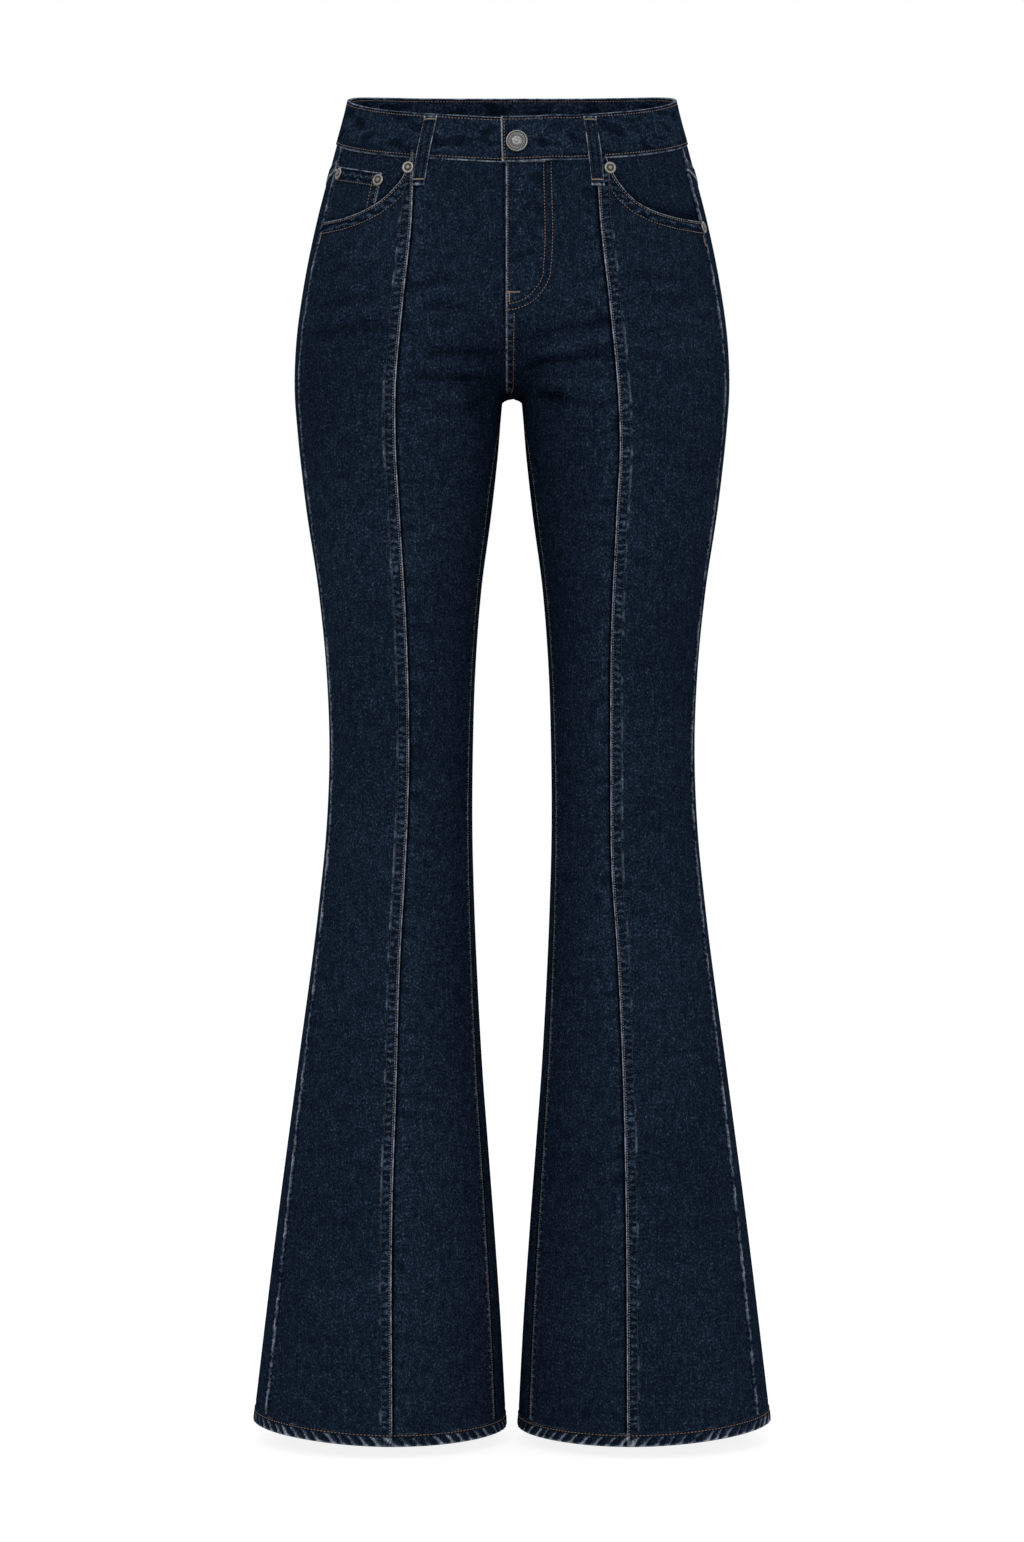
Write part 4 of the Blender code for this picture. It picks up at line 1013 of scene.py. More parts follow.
def back(name, side):
    over = side > 0

    def outside(z):
        return side_edge(z, -1)

    def middle(z):
        return centre_edge(z, side, -1, 0.0 if over else BACK_UNDERLAP, BACK_UNDERLAP)

    def top(angle):
        return yoke_bottom(angle) + BACK_UNDERLAP

    inner, even = row_heights(AT_YOKE)
    shares = panel_shares(outside, middle, AT_FOLD, AT_FOLD if over else UNDER_BACK, even)
    angle, z = long_grid(outside, middle, shares, top, inner, even)
    points, away, near, far = laid(angle, z)
    below = run(points, 0)
    rise = smooth((z - CROTCH + 1.0) / 16.0)
    lumps = wobble(-z, 41 + side, 8.0)
    fine = wobble(-z, 43 + side, 3.5)
    lift = lapped(near, 0.5, 4.6) + 0.35 * lumps * gauss(near, 1.6, 2.6) + pressed(near, 6.0, 0.25)
    lift = lift + tucked(below, BACK_UNDERLAP)
    middle_lift = twin_sewn(far, 0.65) if over else tucked(far, BACK_UNDERLAP)
    lift = lift + middle_lift * rise + tucked(far, BACK_UNDERLAP, 0.6) * (1.0 - rise)
    wear_and_highlight = gauss(near, 1.3 + 0.8 * fine, 1.2) * (0.42 + 0.34 * lumps + 0.16 * fine)
    wear_and_highlight = wear_and_highlight + 0.16 * (1.0 - smooth((near - 5.0) / 3.0))
    # Painted shade in the groove beside the side seam and painted shadow under the yoke's edge; below, painted
    # shade in the rows' grooves and painted shadow past the other half's edge.
    painted_shade_and_patina = 0.4 * gauss(near, 6.2, 1.2) + 0.8 * gauss(below, BACK_UNDERLAP + 1.0, 1.2)
    if over:
        wear_and_highlight = wear_and_highlight + (gauss(far, 0.5, 0.7) + 0.12 * (1.0 - smooth((far - 8.6) / 2.0))) * rise
        painted_shade_and_patina = painted_shade_and_patina + twin_shade(far) * rise
    else:
        painted_shade_and_patina = painted_shade_and_patina + 0.8 * gauss(far, BACK_UNDERLAP + 0.9, 1.1) * rise
    # A paler seat (wear), and a painted highlight on the strip beside the inseam, which would lie in the other
    # leg's shade.
    wear_and_highlight = wear_and_highlight + 0.10 * spot(points, 78.0, -190.0, 60.0, 80.0) * (angle < 0) + 0.13 * inner_strip(angle, z)
    painted_shade_and_patina = painted_shade_and_patina + 0.8 * gauss(far, BACK_UNDERLAP + 0.9, 1.3) * (1.0 - rise)
    pucker = np.clip(1.0 - smooth((near - 3.0) / 4.0) + (1.0 - smooth((far - 6.0) / 5.0)) * 0.7, 0.0, 1.0)
    sheet = dressed("back_" + name, side, points, away, lift, grain_chart(points, 88.0),
                    wear_and_highlight, painted_shade_and_patina + inner_shade(angle), pucker)
    if over:
        for at in (STITCH_IN, STITCH_OUT):
            sew_beside("back", "tan", side, sheet, far, at, YOKE_AT_BACK + 3.0, CROTCH + 3.0)


YOKE_HEIGHT = 42.0          # at the sides, as the rows beside its lower edge count it
YOKE_ROWS = np.concatenate([np.linspace(0.0, 0.62, 12), 1.0 - np.array([
    11.5, 9.6, 8.8, 8.1, 7.2, 6.0, 4.4, 3.2, 2.3, 1.6, 1.0, 0.45, 0.0]) / YOKE_HEIGHT])
YOKE_LEVELS = np.array([-60.0, -30.0])      # where its columns are counted


def yoke(name, side):
    over = side > 0

    def outside(z):
        return side_edge(z, -1)

    def middle(z):
        return centre_edge(z, side, -1, 0.0 if over else BACK_UNDERLAP)

    shares = panel_shares(outside, middle, AT_FOLD, AT_FOLD, YOKE_LEVELS)[0]
    angle, z = short_grid(outside, middle, shares, YOKE_ROWS, under_band, yoke_bottom)
    points, away, near, far = laid(angle, z)
    below = run(points, 0)
    below = below[-1:] - below
    lumps = wobble(-z, 41 + side, 8.0)
    lift = twin_sewn(below, 0.8)
    lift = lift + 0.5 * (1.0 - smooth((near - 4.6) / 2.0)) + folded(near)
    lift = lift + 0.35 * lumps * gauss(near, 1.6, 2.6)
    if over:
        lift = lift + (lapped(far, 0.5, DOUBLE_REACH) + pressed(far, STITCH_IN))
    else:
        lift = lift + tucked(far, BACK_UNDERLAP)
    wear_and_highlight = gauss(below, 0.5, 0.7) + 0.14 * (1.0 - smooth((below - 8.6) / 2.0))
    wear_and_highlight = wear_and_highlight + gauss(near, 1.2, 1.3) * (0.5 + 0.35 * lumps) + gauss(far, 0.5, 0.7) * over
    pucker = np.clip(1.0 - smooth((near - 3.0) / 4.0) + 1.0 - smooth((below - 8.0) / 3.0), 0.0, 1.0)
    # The shade passed here is painted shade in the grooves of the rows beside its lower edge.
    sheet = dressed("yoke_" + name, side, points, away, lift, cloth_chart(points),
                    wear_and_highlight, twin_shade(below), pucker)
    downwards = [np.swapaxes(grid, 0, 1) for grid in sheet]
    for at in (STITCH_IN, STITCH_OUT):
        sew_beside("back", "tan", side, downwards, below.T, at)
        if over:
            sew_beside("back", "tan", side, sheet, far, at, band_bottom(-90.0) - 1.0)


HEM_ROWS = np.array([12.4, 11.2, 10.2, 9.4, 8.8, 8.2, 7.4, 6.3, 5.1, 3.9, 2.7, 1.7, 0.9, 0.35, 0.0])
HEM_COLUMNS = 400
HEM_ROW = 8.8               # height of the row of stitches above the hem's edge
HEM_WALL = 2.6              # from the inside of the turned-up cloth to the surface
HEM_STAND = 0.15            # how far off it the threads are laid
ROPE_STEP = 9.6             # from one of the hem's ripples to the next
SEAM_MIDDLE = 4.0           # from the front seam's edge to its middle


def hem_band(name, side):
    """The turned-up hem, all round a leg, with the slanted ripples that its stitching pulls."""
    up = HEM_ROWS[:, None]
    angle = np.linspace(-180.0, 180.0, HEM_COLUMNS + 1)[:-1][None, :]
    z = hem(angle) + up
    points = surface(angle, z)
    away = outward(points)
    length = run(np.concatenate([points, points[:, :1]], axis=1), 1)
    total = float(length[0, -1])
    length = length[:, :-1] / length[:, -1:] * total
    in_front = points[..., 1] < 0.0
    seam = float(seam_offset(np.array(HEM_HEIGHT), side)) + SEAM_MIDDLE
    crossing = gauss(points[..., 0], seam, 6.0) * in_front
    slant = length + 0.45 * up + 0.05 * up * up + 2.4 * wobble(length, 51 + side, 13.0)
    ripples = max(1, round(total / ROPE_STEP))
    turn = slant / total * ripples
    from_crest = (turn - np.round(turn)) * total / ripples
    strength = 0.7 + 0.4 * wobble(length, 53 + side, 12.0)
    window = smooth((up + 0.5) / 1.5) * (1.0 - smooth((up - 6.8) / 1.8))
    ridge = smooth((np.cos(turn * 2.0 * math.pi) + 0.35) / 1.35) * strength * window
    lift = 0.35 + 0.8 * (ridge - 0.35 * window) + pressed(up, HEM_ROW, 0.45) + 0.15 * gauss(up, 10.4, 0.7)
    lift = lift + 0.6 * crossing - 0.9 * smooth((up - 10.6) / 1.6) + folded(up, 1.2)
    patches = 0.5 + 0.5 * wobble(length, 55 + side, 9.0)
    crest = gauss(from_crest, 0.5, 1.15) * (1.0 + 0.35 * wobble(length + 3.0 * up, 57 + side, 3.1))
    low_edge = gauss(up, 0.1, 1.3) * (0.25 + 0.35 * patches + 0.55 * gauss(from_crest, 1.2, 2.2))
    wear_and_highlight = (0.72 + 0.30 * patches) * crest * strength * window + 0.16 * gauss(from_crest, 2.4, 2.0) * window
    wear_and_highlight = wear_and_highlight + low_edge + 0.42 * gauss(up, 10.2, 0.8) * patches + 0.3 * crossing * gauss(up, 4.0, 4.0)
    # Painted shade in the row's groove and on one side of each ripple's crest.
    painted_shade_and_patina = 0.5 * gauss(up, 8.6, 0.8) + 0.5 * gauss(from_crest, -2.0, 1.5) * window
    from_edge = points[..., 0] - seam + SEAM_MIDDLE
    wear_and_highlight = wear_and_highlight + 0.55 * gauss(from_edge, 0.5, 0.8) * in_front
    # and painted shadow beside the front seam's edge, with painted shade in its outer row's groove
    painted_shade_and_patina = painted_shade_and_patina + (0.85 * gauss(from_edge, -1.1, 1.0) + 0.45 * gauss(from_edge, STITCH_OUT, 0.9)) * in_front
    outer = points + away * lift[..., None]
    inner = points + away * (np.minimum(lift, 0.4) - HEM_WALL)[..., None]
    shell("hem_" + name, outer, inner, side, np.stack([length, -z], axis=-1), {"wear_and_highlight": wear_and_highlight, "painted_shade_and_patina": painted_shade_and_patina},
          ours=True, loop=True, lining="denim")
    row = int(np.argmin(np.abs(HEM_ROWS - HEM_ROW)))
    line, ups = [np.concatenate([grid[row], grid[row, :2]]) for grid in (outer, away)]
    sew(name + "_leg", "brown", line, ups, side, HEM_STAND)
    behind = 1e3 * (outer[-1, :, 1] > 0.0)
    for at, thread in FRONT_SEAM_ROWS:
        beside = int(np.argmin(np.abs(outer[-1, :, 0] - seam + SEAM_MIDDLE - at) + behind))
        sew(name + "_leg", thread, outer[2:-2, beside], away[2:-2, beside], side, HEM_STAND)


# Smaller pieces' sizes

PATCH_STAND = 0.15          # how far off a patch its bar tacks are laid
POCKET_ANGLES = (13.0, 88.0)                # a front pocket's bag reaches between these
BAG_TOP = 3.0               # and starts this far above the waistband's lower edge
BAG_DEPTH = 118.0
BAG_ROUND = 36.0            # how much less deep it is at its sides
BAG_COLUMNS, BAG_ROWS = 64, 56
COIN_ANGLES = (24.0, 60.0)                  # the coin pocket's sides, and its top's heights there
COIN_TOP = (-61.5, -75.0)
COIN_WIDTH, COIN_HEIGHT = 42.0, 40.0
COIN_STEP = 1.5
COIN_UNDER = 5.0            # how far it runs down behind the mouth's edge
COIN_TOP_ROW = 10.5
COIN_SIDE_ROW = 2.0
# Edge that a row is beside, distance, thread, and how far it stays clear of other edges
COIN_ROWS = (
    ("top", COIN_TOP_ROW, "tan", {"left": 1.8, "right": 1.8}),
    ("left", COIN_SIDE_ROW, "tan", {}),
    ("right", COIN_SIDE_ROW, "tan", {}),
    ("left", 7.5, "dim", {"top": 0.5}),
    ("right", 7.5, "tan", {"top": 0.5}),
)
SHIELD_CLOTH = 1.5
ZIP_CLOTH = 1.0
ZIP_REACH = 13.0            # half the zip's width
SHIELD_REACH = (-15.0, 33.0)                # the shield's two edges, from the middle
STRIP_ROWS = 56             # rows down the zip and the shield, and the step between their columns
STRIP_STEP = 2.5
TEETH_STAND = 0.25
FLY_END = -178.0            # the zip's and the shield's foot
FLY_GAP = 1.1               # between the front's cloth and the zip
BACK_POCKET_CENTRE = 76.0
BACK_POCKET_TOP = -112.0
BACK_POCKET_WIDTH = 128.0
BACK_POCKET_FOOT_WIDTH = 108.0
BACK_POCKET_DEPTH = 138.0
BACK_POCKET_POINT = 16.0
BACK_POCKET_SLOPE = 0.10
BACK_POCKET_BLUNT = 0.0016  # how blunt its point is
BACK_POCKET_INSETS = (2.0, 8.2)             # rows beside its sides and foot, and beside its top
BACK_POCKET_TOP_INSETS = (2.8, 12.0)
# Name, side, facing, places across its top and its foot
BELT_LOOPS = (
    ("front_left", 1, 1, 60.0, 66.5),
    ("front_right", -1, 1, 62.6, 72.7),
    ("back_left", 1, -1, 68.0, 69.0),
    ("back_right", -1, -1, 76.0, 77.0),
    ("back_centre", 1, -1, 0.0, 0.0),
)
LOOP_WIDTH = 10.0
LOOP_CLOTH = 1.6
LOOP_TOP_INSET = 2.5        # from the waistband's upper edge down to a loop's top
LOOP_FOOT_DROP = 21.6       # from its lower edge down to the loop's foot
LOOP_LEVEL = -50.0          # height at which the loops' places are told
LOOP_STAND = 0.35           # its wall's place off the waistband
LOOP_BOW = 2.2              # how much further its middle stands off
LOOP_ROW = 2.1              # from its side edges to its rows of stitches
BUTTON_PLACE = (4.0, -53.7)
BUTTON_STAND = 0.2
BUTTON_SEGMENTS = 132
RIVET_SEGMENTS = 40
# Name, side, place across, height, how far off the surface
RIVETS = (
    ("mouth_left", 1, 75.6, -73.0, 1.0),
    ("mouth_right", -1, 80.2, -72.5, 1.0),
    ("side_left", 1, 150.5, -110.5, 0.6),
    ("coin_inner", -1, 104.0, -80.5, 0.0),
    ("coin_outer", -1, 136.0, -69.5, 0.3),
)

# Waistband: one strip whose left end laps over its right end, in front

BAND_EDGE = np.array([0.0, 0.3, 0.7, 1.2, 1.9, 2.6, 3.3, 4.4, 6.0])
LAP_END = 8.0               # the upper end stands this far to the wearer's right of the middle
UNDERLAP_END = 26.0         # and the lower end this far to the left
LAP_EASE = (46.0, 30.0)     # the upper end rises onto the lower one between these places
LAP_RISE = BAND_CLOTH + LAYER_GAP
BAND_STEP = 2.5
BAND_ROW_STEP = 2.6
BAND_SAMPLES = 400
BAND_ROW = 2.6              # from its upper and lower edges to their rows of stitches
BAND_END_ROW = 2.4          # and from its upper end


def edged(total, near, step, both=True):
    """Places over a length, crowded at its start, and at its end too if both."""
    last = total - near[-1] if both else total
    count = max(2, int(round((last - near[-1]) / step)))
    middle = np.linspace(near[-1], last, count + 1)[1:-1]
    return np.concatenate([near, middle, total - near[::-1] if both else [total]])


def band_lift(points, angle, side):
    lap = smooth((LAP_EASE[0] - points[..., 0]) / (LAP_EASE[0] - LAP_EASE[1])) * (angle > 0.0)
    return BAND_PROUD + LAP_RISE * lap * (side > 0)


def waistband():
    heights = np.array(float(band_bottom(MIDDLE_ANGLE)))
    ends = {-1: angle_at(-UNDERLAP_END, heights, 1), 1: angle_at(-LAP_END, heights, 1)}
    back_angle = angle_at(0.0, np.array(float(band_bottom(-90.0))), -1)
    drop = edged(BAND_HEIGHT, BAND_EDGE, BAND_ROW_STEP)[:, None]
    halves = []
    for side in (-1, 1):
        sampled = np.linspace(ends[side], back_angle, BAND_SAMPLES)
        length = run(surface(sampled, band_top(sampled) - BAND_HEIGHT / 2.0), 0)
        along = edged(length[-1], BAND_EDGE, BAND_STEP, both=False)
        angle = np.broadcast_to(np.interp(along, length, sampled)[None, :], (len(drop), len(along)))
        z = band_top(angle) - drop
        points = surface(angle, z)
        mirror = mirrored(side)
        halves.append([points * mirror, outward(points) * mirror, band_lift(points, angle, side),
                       np.broadcast_to(along[None, :], z.shape), z])
    right, left = halves
    end = right[3][0, -1] + left[3][0, -1]
    left[3] = end - left[3]
    points, away, lift, along, z = [np.concatenate([a, b[:, -2::-1]], axis=1) for a, b in zip(right, left)]
    edge = np.minimum(drop, BAND_HEIGHT - drop)
    from_end = end - along
    round_off = folded(np.minimum(edge, np.minimum(along, from_end)), 1.2)
    waves = 0.22 * wobble(along, 61, 14.0) * smooth((edge - 3.0) / 8.0)
    press = pressed(edge, BAND_ROW, 0.3) + pressed(from_end, BAND_END_ROW, 0.3)
    outer = points + away * (lift + round_off + waves + press)[..., None]
    inner = points + away * (lift - BAND_CLOTH - round_off)[..., None]
    wear_and_highlight = 0.9 * gauss(edge, 0.3, 0.6) * (0.75 + 0.35 * wobble(along, 62, 9.0))
    wear_and_highlight = wear_and_highlight + 0.9 * gauss(from_end, 0.5, 0.9)
    # Painted shade in the grooves of the rows along its edges and its end.
    painted_shade_and_patina = 0.35 * (gauss(edge, BAND_ROW, 0.6) + gauss(from_end, BAND_END_ROW, 0.6))
    pucker = 0.7 * (1.0 - smooth((edge - 2.2) / 3.0))
    crumple = 0.85 * smooth((edge - 1.0) / 5.0)
    shell("waistband", outer, inner, 1, np.stack([along, -z], axis=-1),
          {"wear_and_highlight": wear_and_highlight, "painted_shade_and_patina": painted_shade_and_patina, "pucker": pucker, "crumple": crumple}, lining="denim")
    for at in (BAND_ROW, BAND_HEIGHT - BAND_ROW):
        row = int(np.argmin(np.abs(drop[:, 0] - at)))
        sew("waist", "tan", outer[row], away[row])
        sew("waist", "tan", inner[row], -away[row])
    inset = int(np.argmin(np.abs(along[0] - (end - BAND_END_ROW))))
    rows = (drop[:, 0] > BAND_END_ROW) & (drop[:, 0] < BAND_HEIGHT - BAND_END_ROW)
    sew("waist", "tan", outer[rows, inset], away[rows, inset])


# Patches: small pieces made over a grid of points with all four edges crowded

PATCH_EDGE = np.array([0.0, 0.35, 0.8, 1.3, 2.0, 2.8, 4.0, 5.6, 7.2, 8.2, 9.2, 10.6])


def edge_runs(points):
    """Distances from a grid's left, right, top and foot edges."""
    across, down = run(points, 1), run(points, 0)
    return {"left": across, "right": across[:, -1:] - across, "top": down, "foot": down[-1:] - down}


def inset_row(sheet, runs, edge, at, clear):
    """The line at one distance inside a patch's edge, clear of its other edges, and the ways out."""
    distance = runs[edge]
    grids = [*sheet, *[runs[key] for key in clear]]
    if edge in ("top", "foot"):
        distance, grids = distance.T, [np.swapaxes(grid, 0, 1) for grid in grids]
    line, ups, *others = row_at(at, distance, *grids)
    keep = np.ones(len(line), bool)
    for other, least in zip(others, clear.values()):
        keep &= other[:, 0] >= least
    return line[keep], ups[keep]


def shares_of(width, near=PATCH_EDGE, step=3.0):
    return edged(width, near, step) / width


def front_pocket(name, side):
    """The cloth behind a pocket's mouth, and the bag below it."""
    first, last = POCKET_ANGLES

    def top(angle):
        return band_bottom(angle) + BAG_TOP

    def foot(angle):
        across = (angle - first) / (last - first) * 2.0 - 1.0
        return band_bottom(angle) - BAG_DEPTH + BAG_ROUND * across ** 4

    angle, z = short_grid(upright(first), upright(last), np.linspace(0.0, 1.0, BAG_COLUMNS),
                          np.linspace(0.0, 1.0, BAG_ROWS), top, foot)
    points = surface(angle, z)
    away = outward(points)
    lift = pocket_lift(angle, z)
    if side > 0:
        x = points[..., 0]
        lift = lift + 0.35 * gauss(x * 0.8 + z * 0.6, 32.0, 9.0) - 0.3 * gauss(x * 0.5 + z * 0.85, -20.0, 6.0)
    outer = points + away * lift[..., None]
    # The pocket's back gets painted shadow just under the mouth's edge.
    shell("front_pocket_" + name, outer, outer - away * SHEET, side, cloth_chart(points),
          {"painted_shade_and_patina": 0.75 * gauss(z, mouth_height(angle, side), 7.0)})


def pocket_lift(angle, z):
    """A pocket's back leaves the band at the panels' level and sinks behind the mouth."""
    level = smooth((z - band_bottom(angle) + 24.0) / 22.0)
    return -2.0 + 1.1 * np.maximum(level, 1.0 - smooth((angle - 18.0) / 9.0))


def coin_pocket(side):
    def top(angle):
        return np.interp(angle, COIN_ANGLES, COIN_TOP)

    def foot(angle):
        return mouth_height(angle, side) - COIN_UNDER

    shares = shares_of(COIN_WIDTH, PATCH_EDGE[:7], COIN_STEP)
    drop = shares_of(COIN_HEIGHT, PATCH_EDGE[:8], COIN_STEP)
    angle, z = short_grid(*[upright(angle) for angle in COIN_ANGLES], shares, drop, top, foot)
    points = surface(angle, z)
    away = outward(points)
    runs = edge_runs(points)
    sides = np.minimum(runs["left"], runs["right"])
    lift = pocket_lift(angle, z) + 1.15 + folded(np.minimum(sides, runs["top"]), 0.6)
    lift = lift + pressed(runs["top"], COIN_TOP_ROW, 0.2) + pressed(sides, COIN_SIDE_ROW, 0.2)
    lift = lift + 0.3 * (1.0 - smooth((runs["top"] - 10.0) / 1.6)) * smooth((sides - 2.0) / 4.0)
    outer = points + away * lift[..., None]
    wear_and_highlight = 0.8 * gauss(runs["top"], 0.4, 0.6) + 0.75 * gauss(sides, 0.4, 0.55)
    # Painted shade in the rows' grooves, and painted shadow where it runs down behind the mouth's edge.
    painted_shade_and_patina = 0.5 * gauss(runs["top"], 11.2, 0.8) + 0.4 * gauss(sides, 2.2, 0.6)
    painted_shade_and_patina = painted_shade_and_patina + 0.5 * (1.0 - smooth((z - mouth_height(angle, side) - 1.0) / 4.0))
    pucker = np.clip(1.0 - smooth((sides - 3.0) / 3.0) + 1.0 - smooth((runs["top"] - 8.0) / 3.0), 0.0, 1.0)
    shell("coin_pocket", outer, outer - away * SHEET, side, cloth_chart(points),
          {"wear_and_highlight": wear_and_highlight, "painted_shade_and_patina": painted_shade_and_patina, "pucker": pucker})
    for edge, at, thread, clear in COIN_ROWS:
        sew("pockets", thread, *inset_row((outer, away), runs, edge, at, clear), side)


def back_pocket(name, side):
    across = shares_of(BACK_POCKET_WIDTH)[None, :] * 2.0 - 1.0
    drop = shares_of(BACK_POCKET_DEPTH)[:, None]
    width = BACK_POCKET_WIDTH + (BACK_POCKET_FOOT_WIDTH - BACK_POCKET_WIDTH) * drop
    x = BACK_POCKET_CENTRE + across * width / 2.0
    foot = BACK_POCKET_DEPTH - BACK_POCKET_POINT * np.sqrt(across ** 2 + BACK_POCKET_BLUNT)
    z = BACK_POCKET_TOP + BACK_POCKET_SLOPE * (x - BACK_POCKET_CENTRE) * (1.0 - drop) - drop * foot
    points = surface(angle_at(x, z, -1), z)
    away = outward(points)
    runs = edge_runs(points)
    top = runs["top"]
    low = np.minimum(np.minimum(runs["left"], runs["right"]), runs["foot"])
    edge = np.minimum(low, top)
    lift = 1.15 + 0.35 * smooth((low - 12.0) / 30.0) + folded(edge)
    for at in BACK_POCKET_INSETS:
        lift = lift + pressed(low, at, 0.3)
    for at, depth in zip(BACK_POCKET_TOP_INSETS, (0.15, 0.3)):
        lift = lift + pressed(top, at, depth)
    wear_and_highlight = 0.8 * gauss(edge, 0.5, 0.8) + 0.18 * (1.0 - smooth((low - 7.0) / 3.0))
    wear_and_highlight = wear_and_highlight + 0.12 * smooth((low - 20.0) / 30.0) + 0.35 * gauss(top, 0.6, 1.6)
    # Painted shade in the rows' grooves.
    painted_shade_and_patina = 0.45 * gauss(low, 2.2, 0.6) + 0.5 * gauss(low, 9.0, 0.9) + 0.5 * gauss(top, 12.6, 0.8)
    pucker = np.clip(1.0 - smooth((low - 7.5) / 3.0) + 1.0 - smooth((top - 10.0) / 3.0), 0.0, 1.0)
    sheet = dressed("back_pocket_" + name, side, points, away, lift, cloth_chart(points), wear_and_highlight, painted_shade_and_patina, pucker)
    for inset in BACK_POCKET_INSETS:
        for key, clear in (("left", {"foot": inset, "top": 0.8}), ("right", {"foot": inset, "top": 0.8}),
                           ("foot", {"left": inset, "right": inset})):
            sew("back", "tan", *inset_row(sheet, runs, key, inset, clear), side)
    for inset in BACK_POCKET_TOP_INSETS:
        sew("back", "tan", *inset_row(sheet, runs, "top", inset, {"left": 8.0, "right": 8.0}), side)
    for key in ("left", "right"):
        line, ups = inset_row(sheet, runs, key, 5.0, {})
        sew("back", "tack", line[1:5], ups[1:5], side, PATCH_STAND)


LOOP_EDGE = np.array([0.0, 0.3, 0.7, 1.2, 1.8, 2.6])
LOOP_ROWS = np.concatenate([[0.0, 0.01, 0.02, 0.035], np.linspace(0.05, 0.95, 28), [0.965, 0.98, 0.99, 1.0]])


def belt_loop(name, side, facing, top_across, foot_across):
    drop = LOOP_ROWS[:, None]
    place = edged(LOOP_WIDTH, LOOP_EDGE, 1.2)[None, :]
    across = top_across + (foot_across - top_across) * drop + place - LOOP_WIDTH / 2.0
    middle = angle_at((top_across + foot_across) / 2.0, np.array(LOOP_LEVEL), facing)
    upper = band_top(middle) - LOOP_TOP_INSET
    foot = band_bottom(middle) - LOOP_FOOT_DROP
    points, away = across_middle(across, np.broadcast_to(upper + drop * (foot - upper), across.shape), facing)
    down = run(points, 0)
    from_foot = down[-1:] - down
    ends = np.minimum(down, from_foot)
    sides = np.minimum(place, LOOP_WIDTH - place) * np.ones_like(drop)
    bow = LOOP_BOW * np.sin(np.pi * np.clip((drop - 0.06) / 0.88, 0.0, 1.0)) ** 1.6
    stand = BAND_PROUD + LOOP_STAND + bow
    hump = 0.5 * smooth((sides - 1.2) / 2.4)
    lift = stand + LOOP_CLOTH - 0.3 + hump - 0.35 + folded(np.minimum(sides, ends), 0.65)
    lift = lift - 0.45 * gauss(ends, 3.2, 1.3)
    outer = points + away * lift[..., None]
    inner = points + away * (stand + 0.0 * sides)[..., None]
    fray = 0.7 + 0.4 * wobble(down, 71 + int(top_across), 3.0)
    wear_and_highlight = 0.75 * gauss(sides, 0.3, 0.6) * fray + 0.6 * gauss(from_foot, 0.6, 1.0)
    wear_and_highlight = wear_and_highlight + 0.5 * gauss(down, 0.4, 0.9) + 0.22 * smooth((sides - 2.8) / 1.0)
    # Painted shade in the rows' grooves and beside the grooves at its ends.
    painted_shade_and_patina = 0.75 * gauss(sides, 2.2, 0.6) + 0.5 * gauss(ends, 4.6, 0.8)
    shell("belt_loop_" + name, outer, inner, side, cloth_chart(points), {"wear_and_highlight": wear_and_highlight, "painted_shade_and_patina": painted_shade_and_patina},
          lining="denim")
    group = "back" if facing < 0 else "waist"
    inside = ends[:, 0] > 4.5
    for at in (LOOP_ROW, LOOP_WIDTH - LOOP_ROW):
        j = int(np.argmin(np.abs(place[0] - at)))
        sew(group, "navy", outer[inside, j], away[inside, j], side, stand=0.1)
    keep = (place[0] > 0.6) & (place[0] < LOOP_WIDTH - 0.6)
    for at in (3.1, float(down[-1, 0]) - 4.2):
        i = int(np.argmin(np.abs(down[:, 0] - at)))
        sew(group, "tack", outer[i, keep], away[i, keep], side, stand=0.2)


# Fly: the zip and its shield, behind the lapped fronts

def middle_strip(name, reach, top, thickness, cloth):
    """A strip of cloth down the middle of the front, from below the waistband to the fly's foot."""
    across = np.linspace(*reach, int((reach[1] - reach[0]) / STRIP_STEP))[None, :]
    upper = band_bottom(MIDDLE_ANGLE) - 0.5
    drop = np.linspace(0.0, 1.0, STRIP_ROWS)[:, None]
    points, away = across_middle(across, upper + drop * (FLY_END - upper), 1)
    lift = top + folded(np.minimum(across - reach[0], reach[1] - across), 0.4)
    outer = points + away * lift[..., None]
    shell(name, outer, outer - away * thickness, 1, cloth_chart(points), {}, cloth=cloth, lining=cloth)
    return outer, away


def fly():
    zip_top = -(CLOTH + FLY_GAP)
    outer, away = middle_strip("zip", (-ZIP_REACH, ZIP_REACH), zip_top, ZIP_CLOTH, "tape")
    middle = outer.shape[1] // 2
    for place, face in ((outer, 1.0), (outer - away * ZIP_CLOTH, -1.0)):
        sew("zip", "teeth", place[2:-1, middle], face * away[2:-1, middle], stand=TEETH_STAND)
    middle_strip("fly_shield", SHIELD_REACH, zip_top - ZIP_CLOTH - PATCH_GAP, SHIELD_CLOTH, "denim_reverse")


# Single rows and bar tacks, as places across the front (the wearer's left is above 0) and heights

FRONT_ROWS = (
    ("tan", 0.55, ((24.5, -69.0), (24.5, -148.0), (23.4, -158.3), (19.4, -165.2), (13.7, -171.9),
                   (5.7, -176.5), (-1.5, -178.2))),
    ("tan", 0.55, ((30.2, -69.0), (30.2, -148.0), (29.0, -158.2), (26.2, -164.6), (21.7, -170.9),
                   (14.9, -177.1), (8.1, -180.5), (0.1, -182.6), (-4.6, -183.4))),
    ("tack", 0.75, ((-3.6, -169.5), (6.0, -169.5))),
    ("tack_thin", 0.75, ((-2.1, -169.0), (-2.1, -177.0))),
)

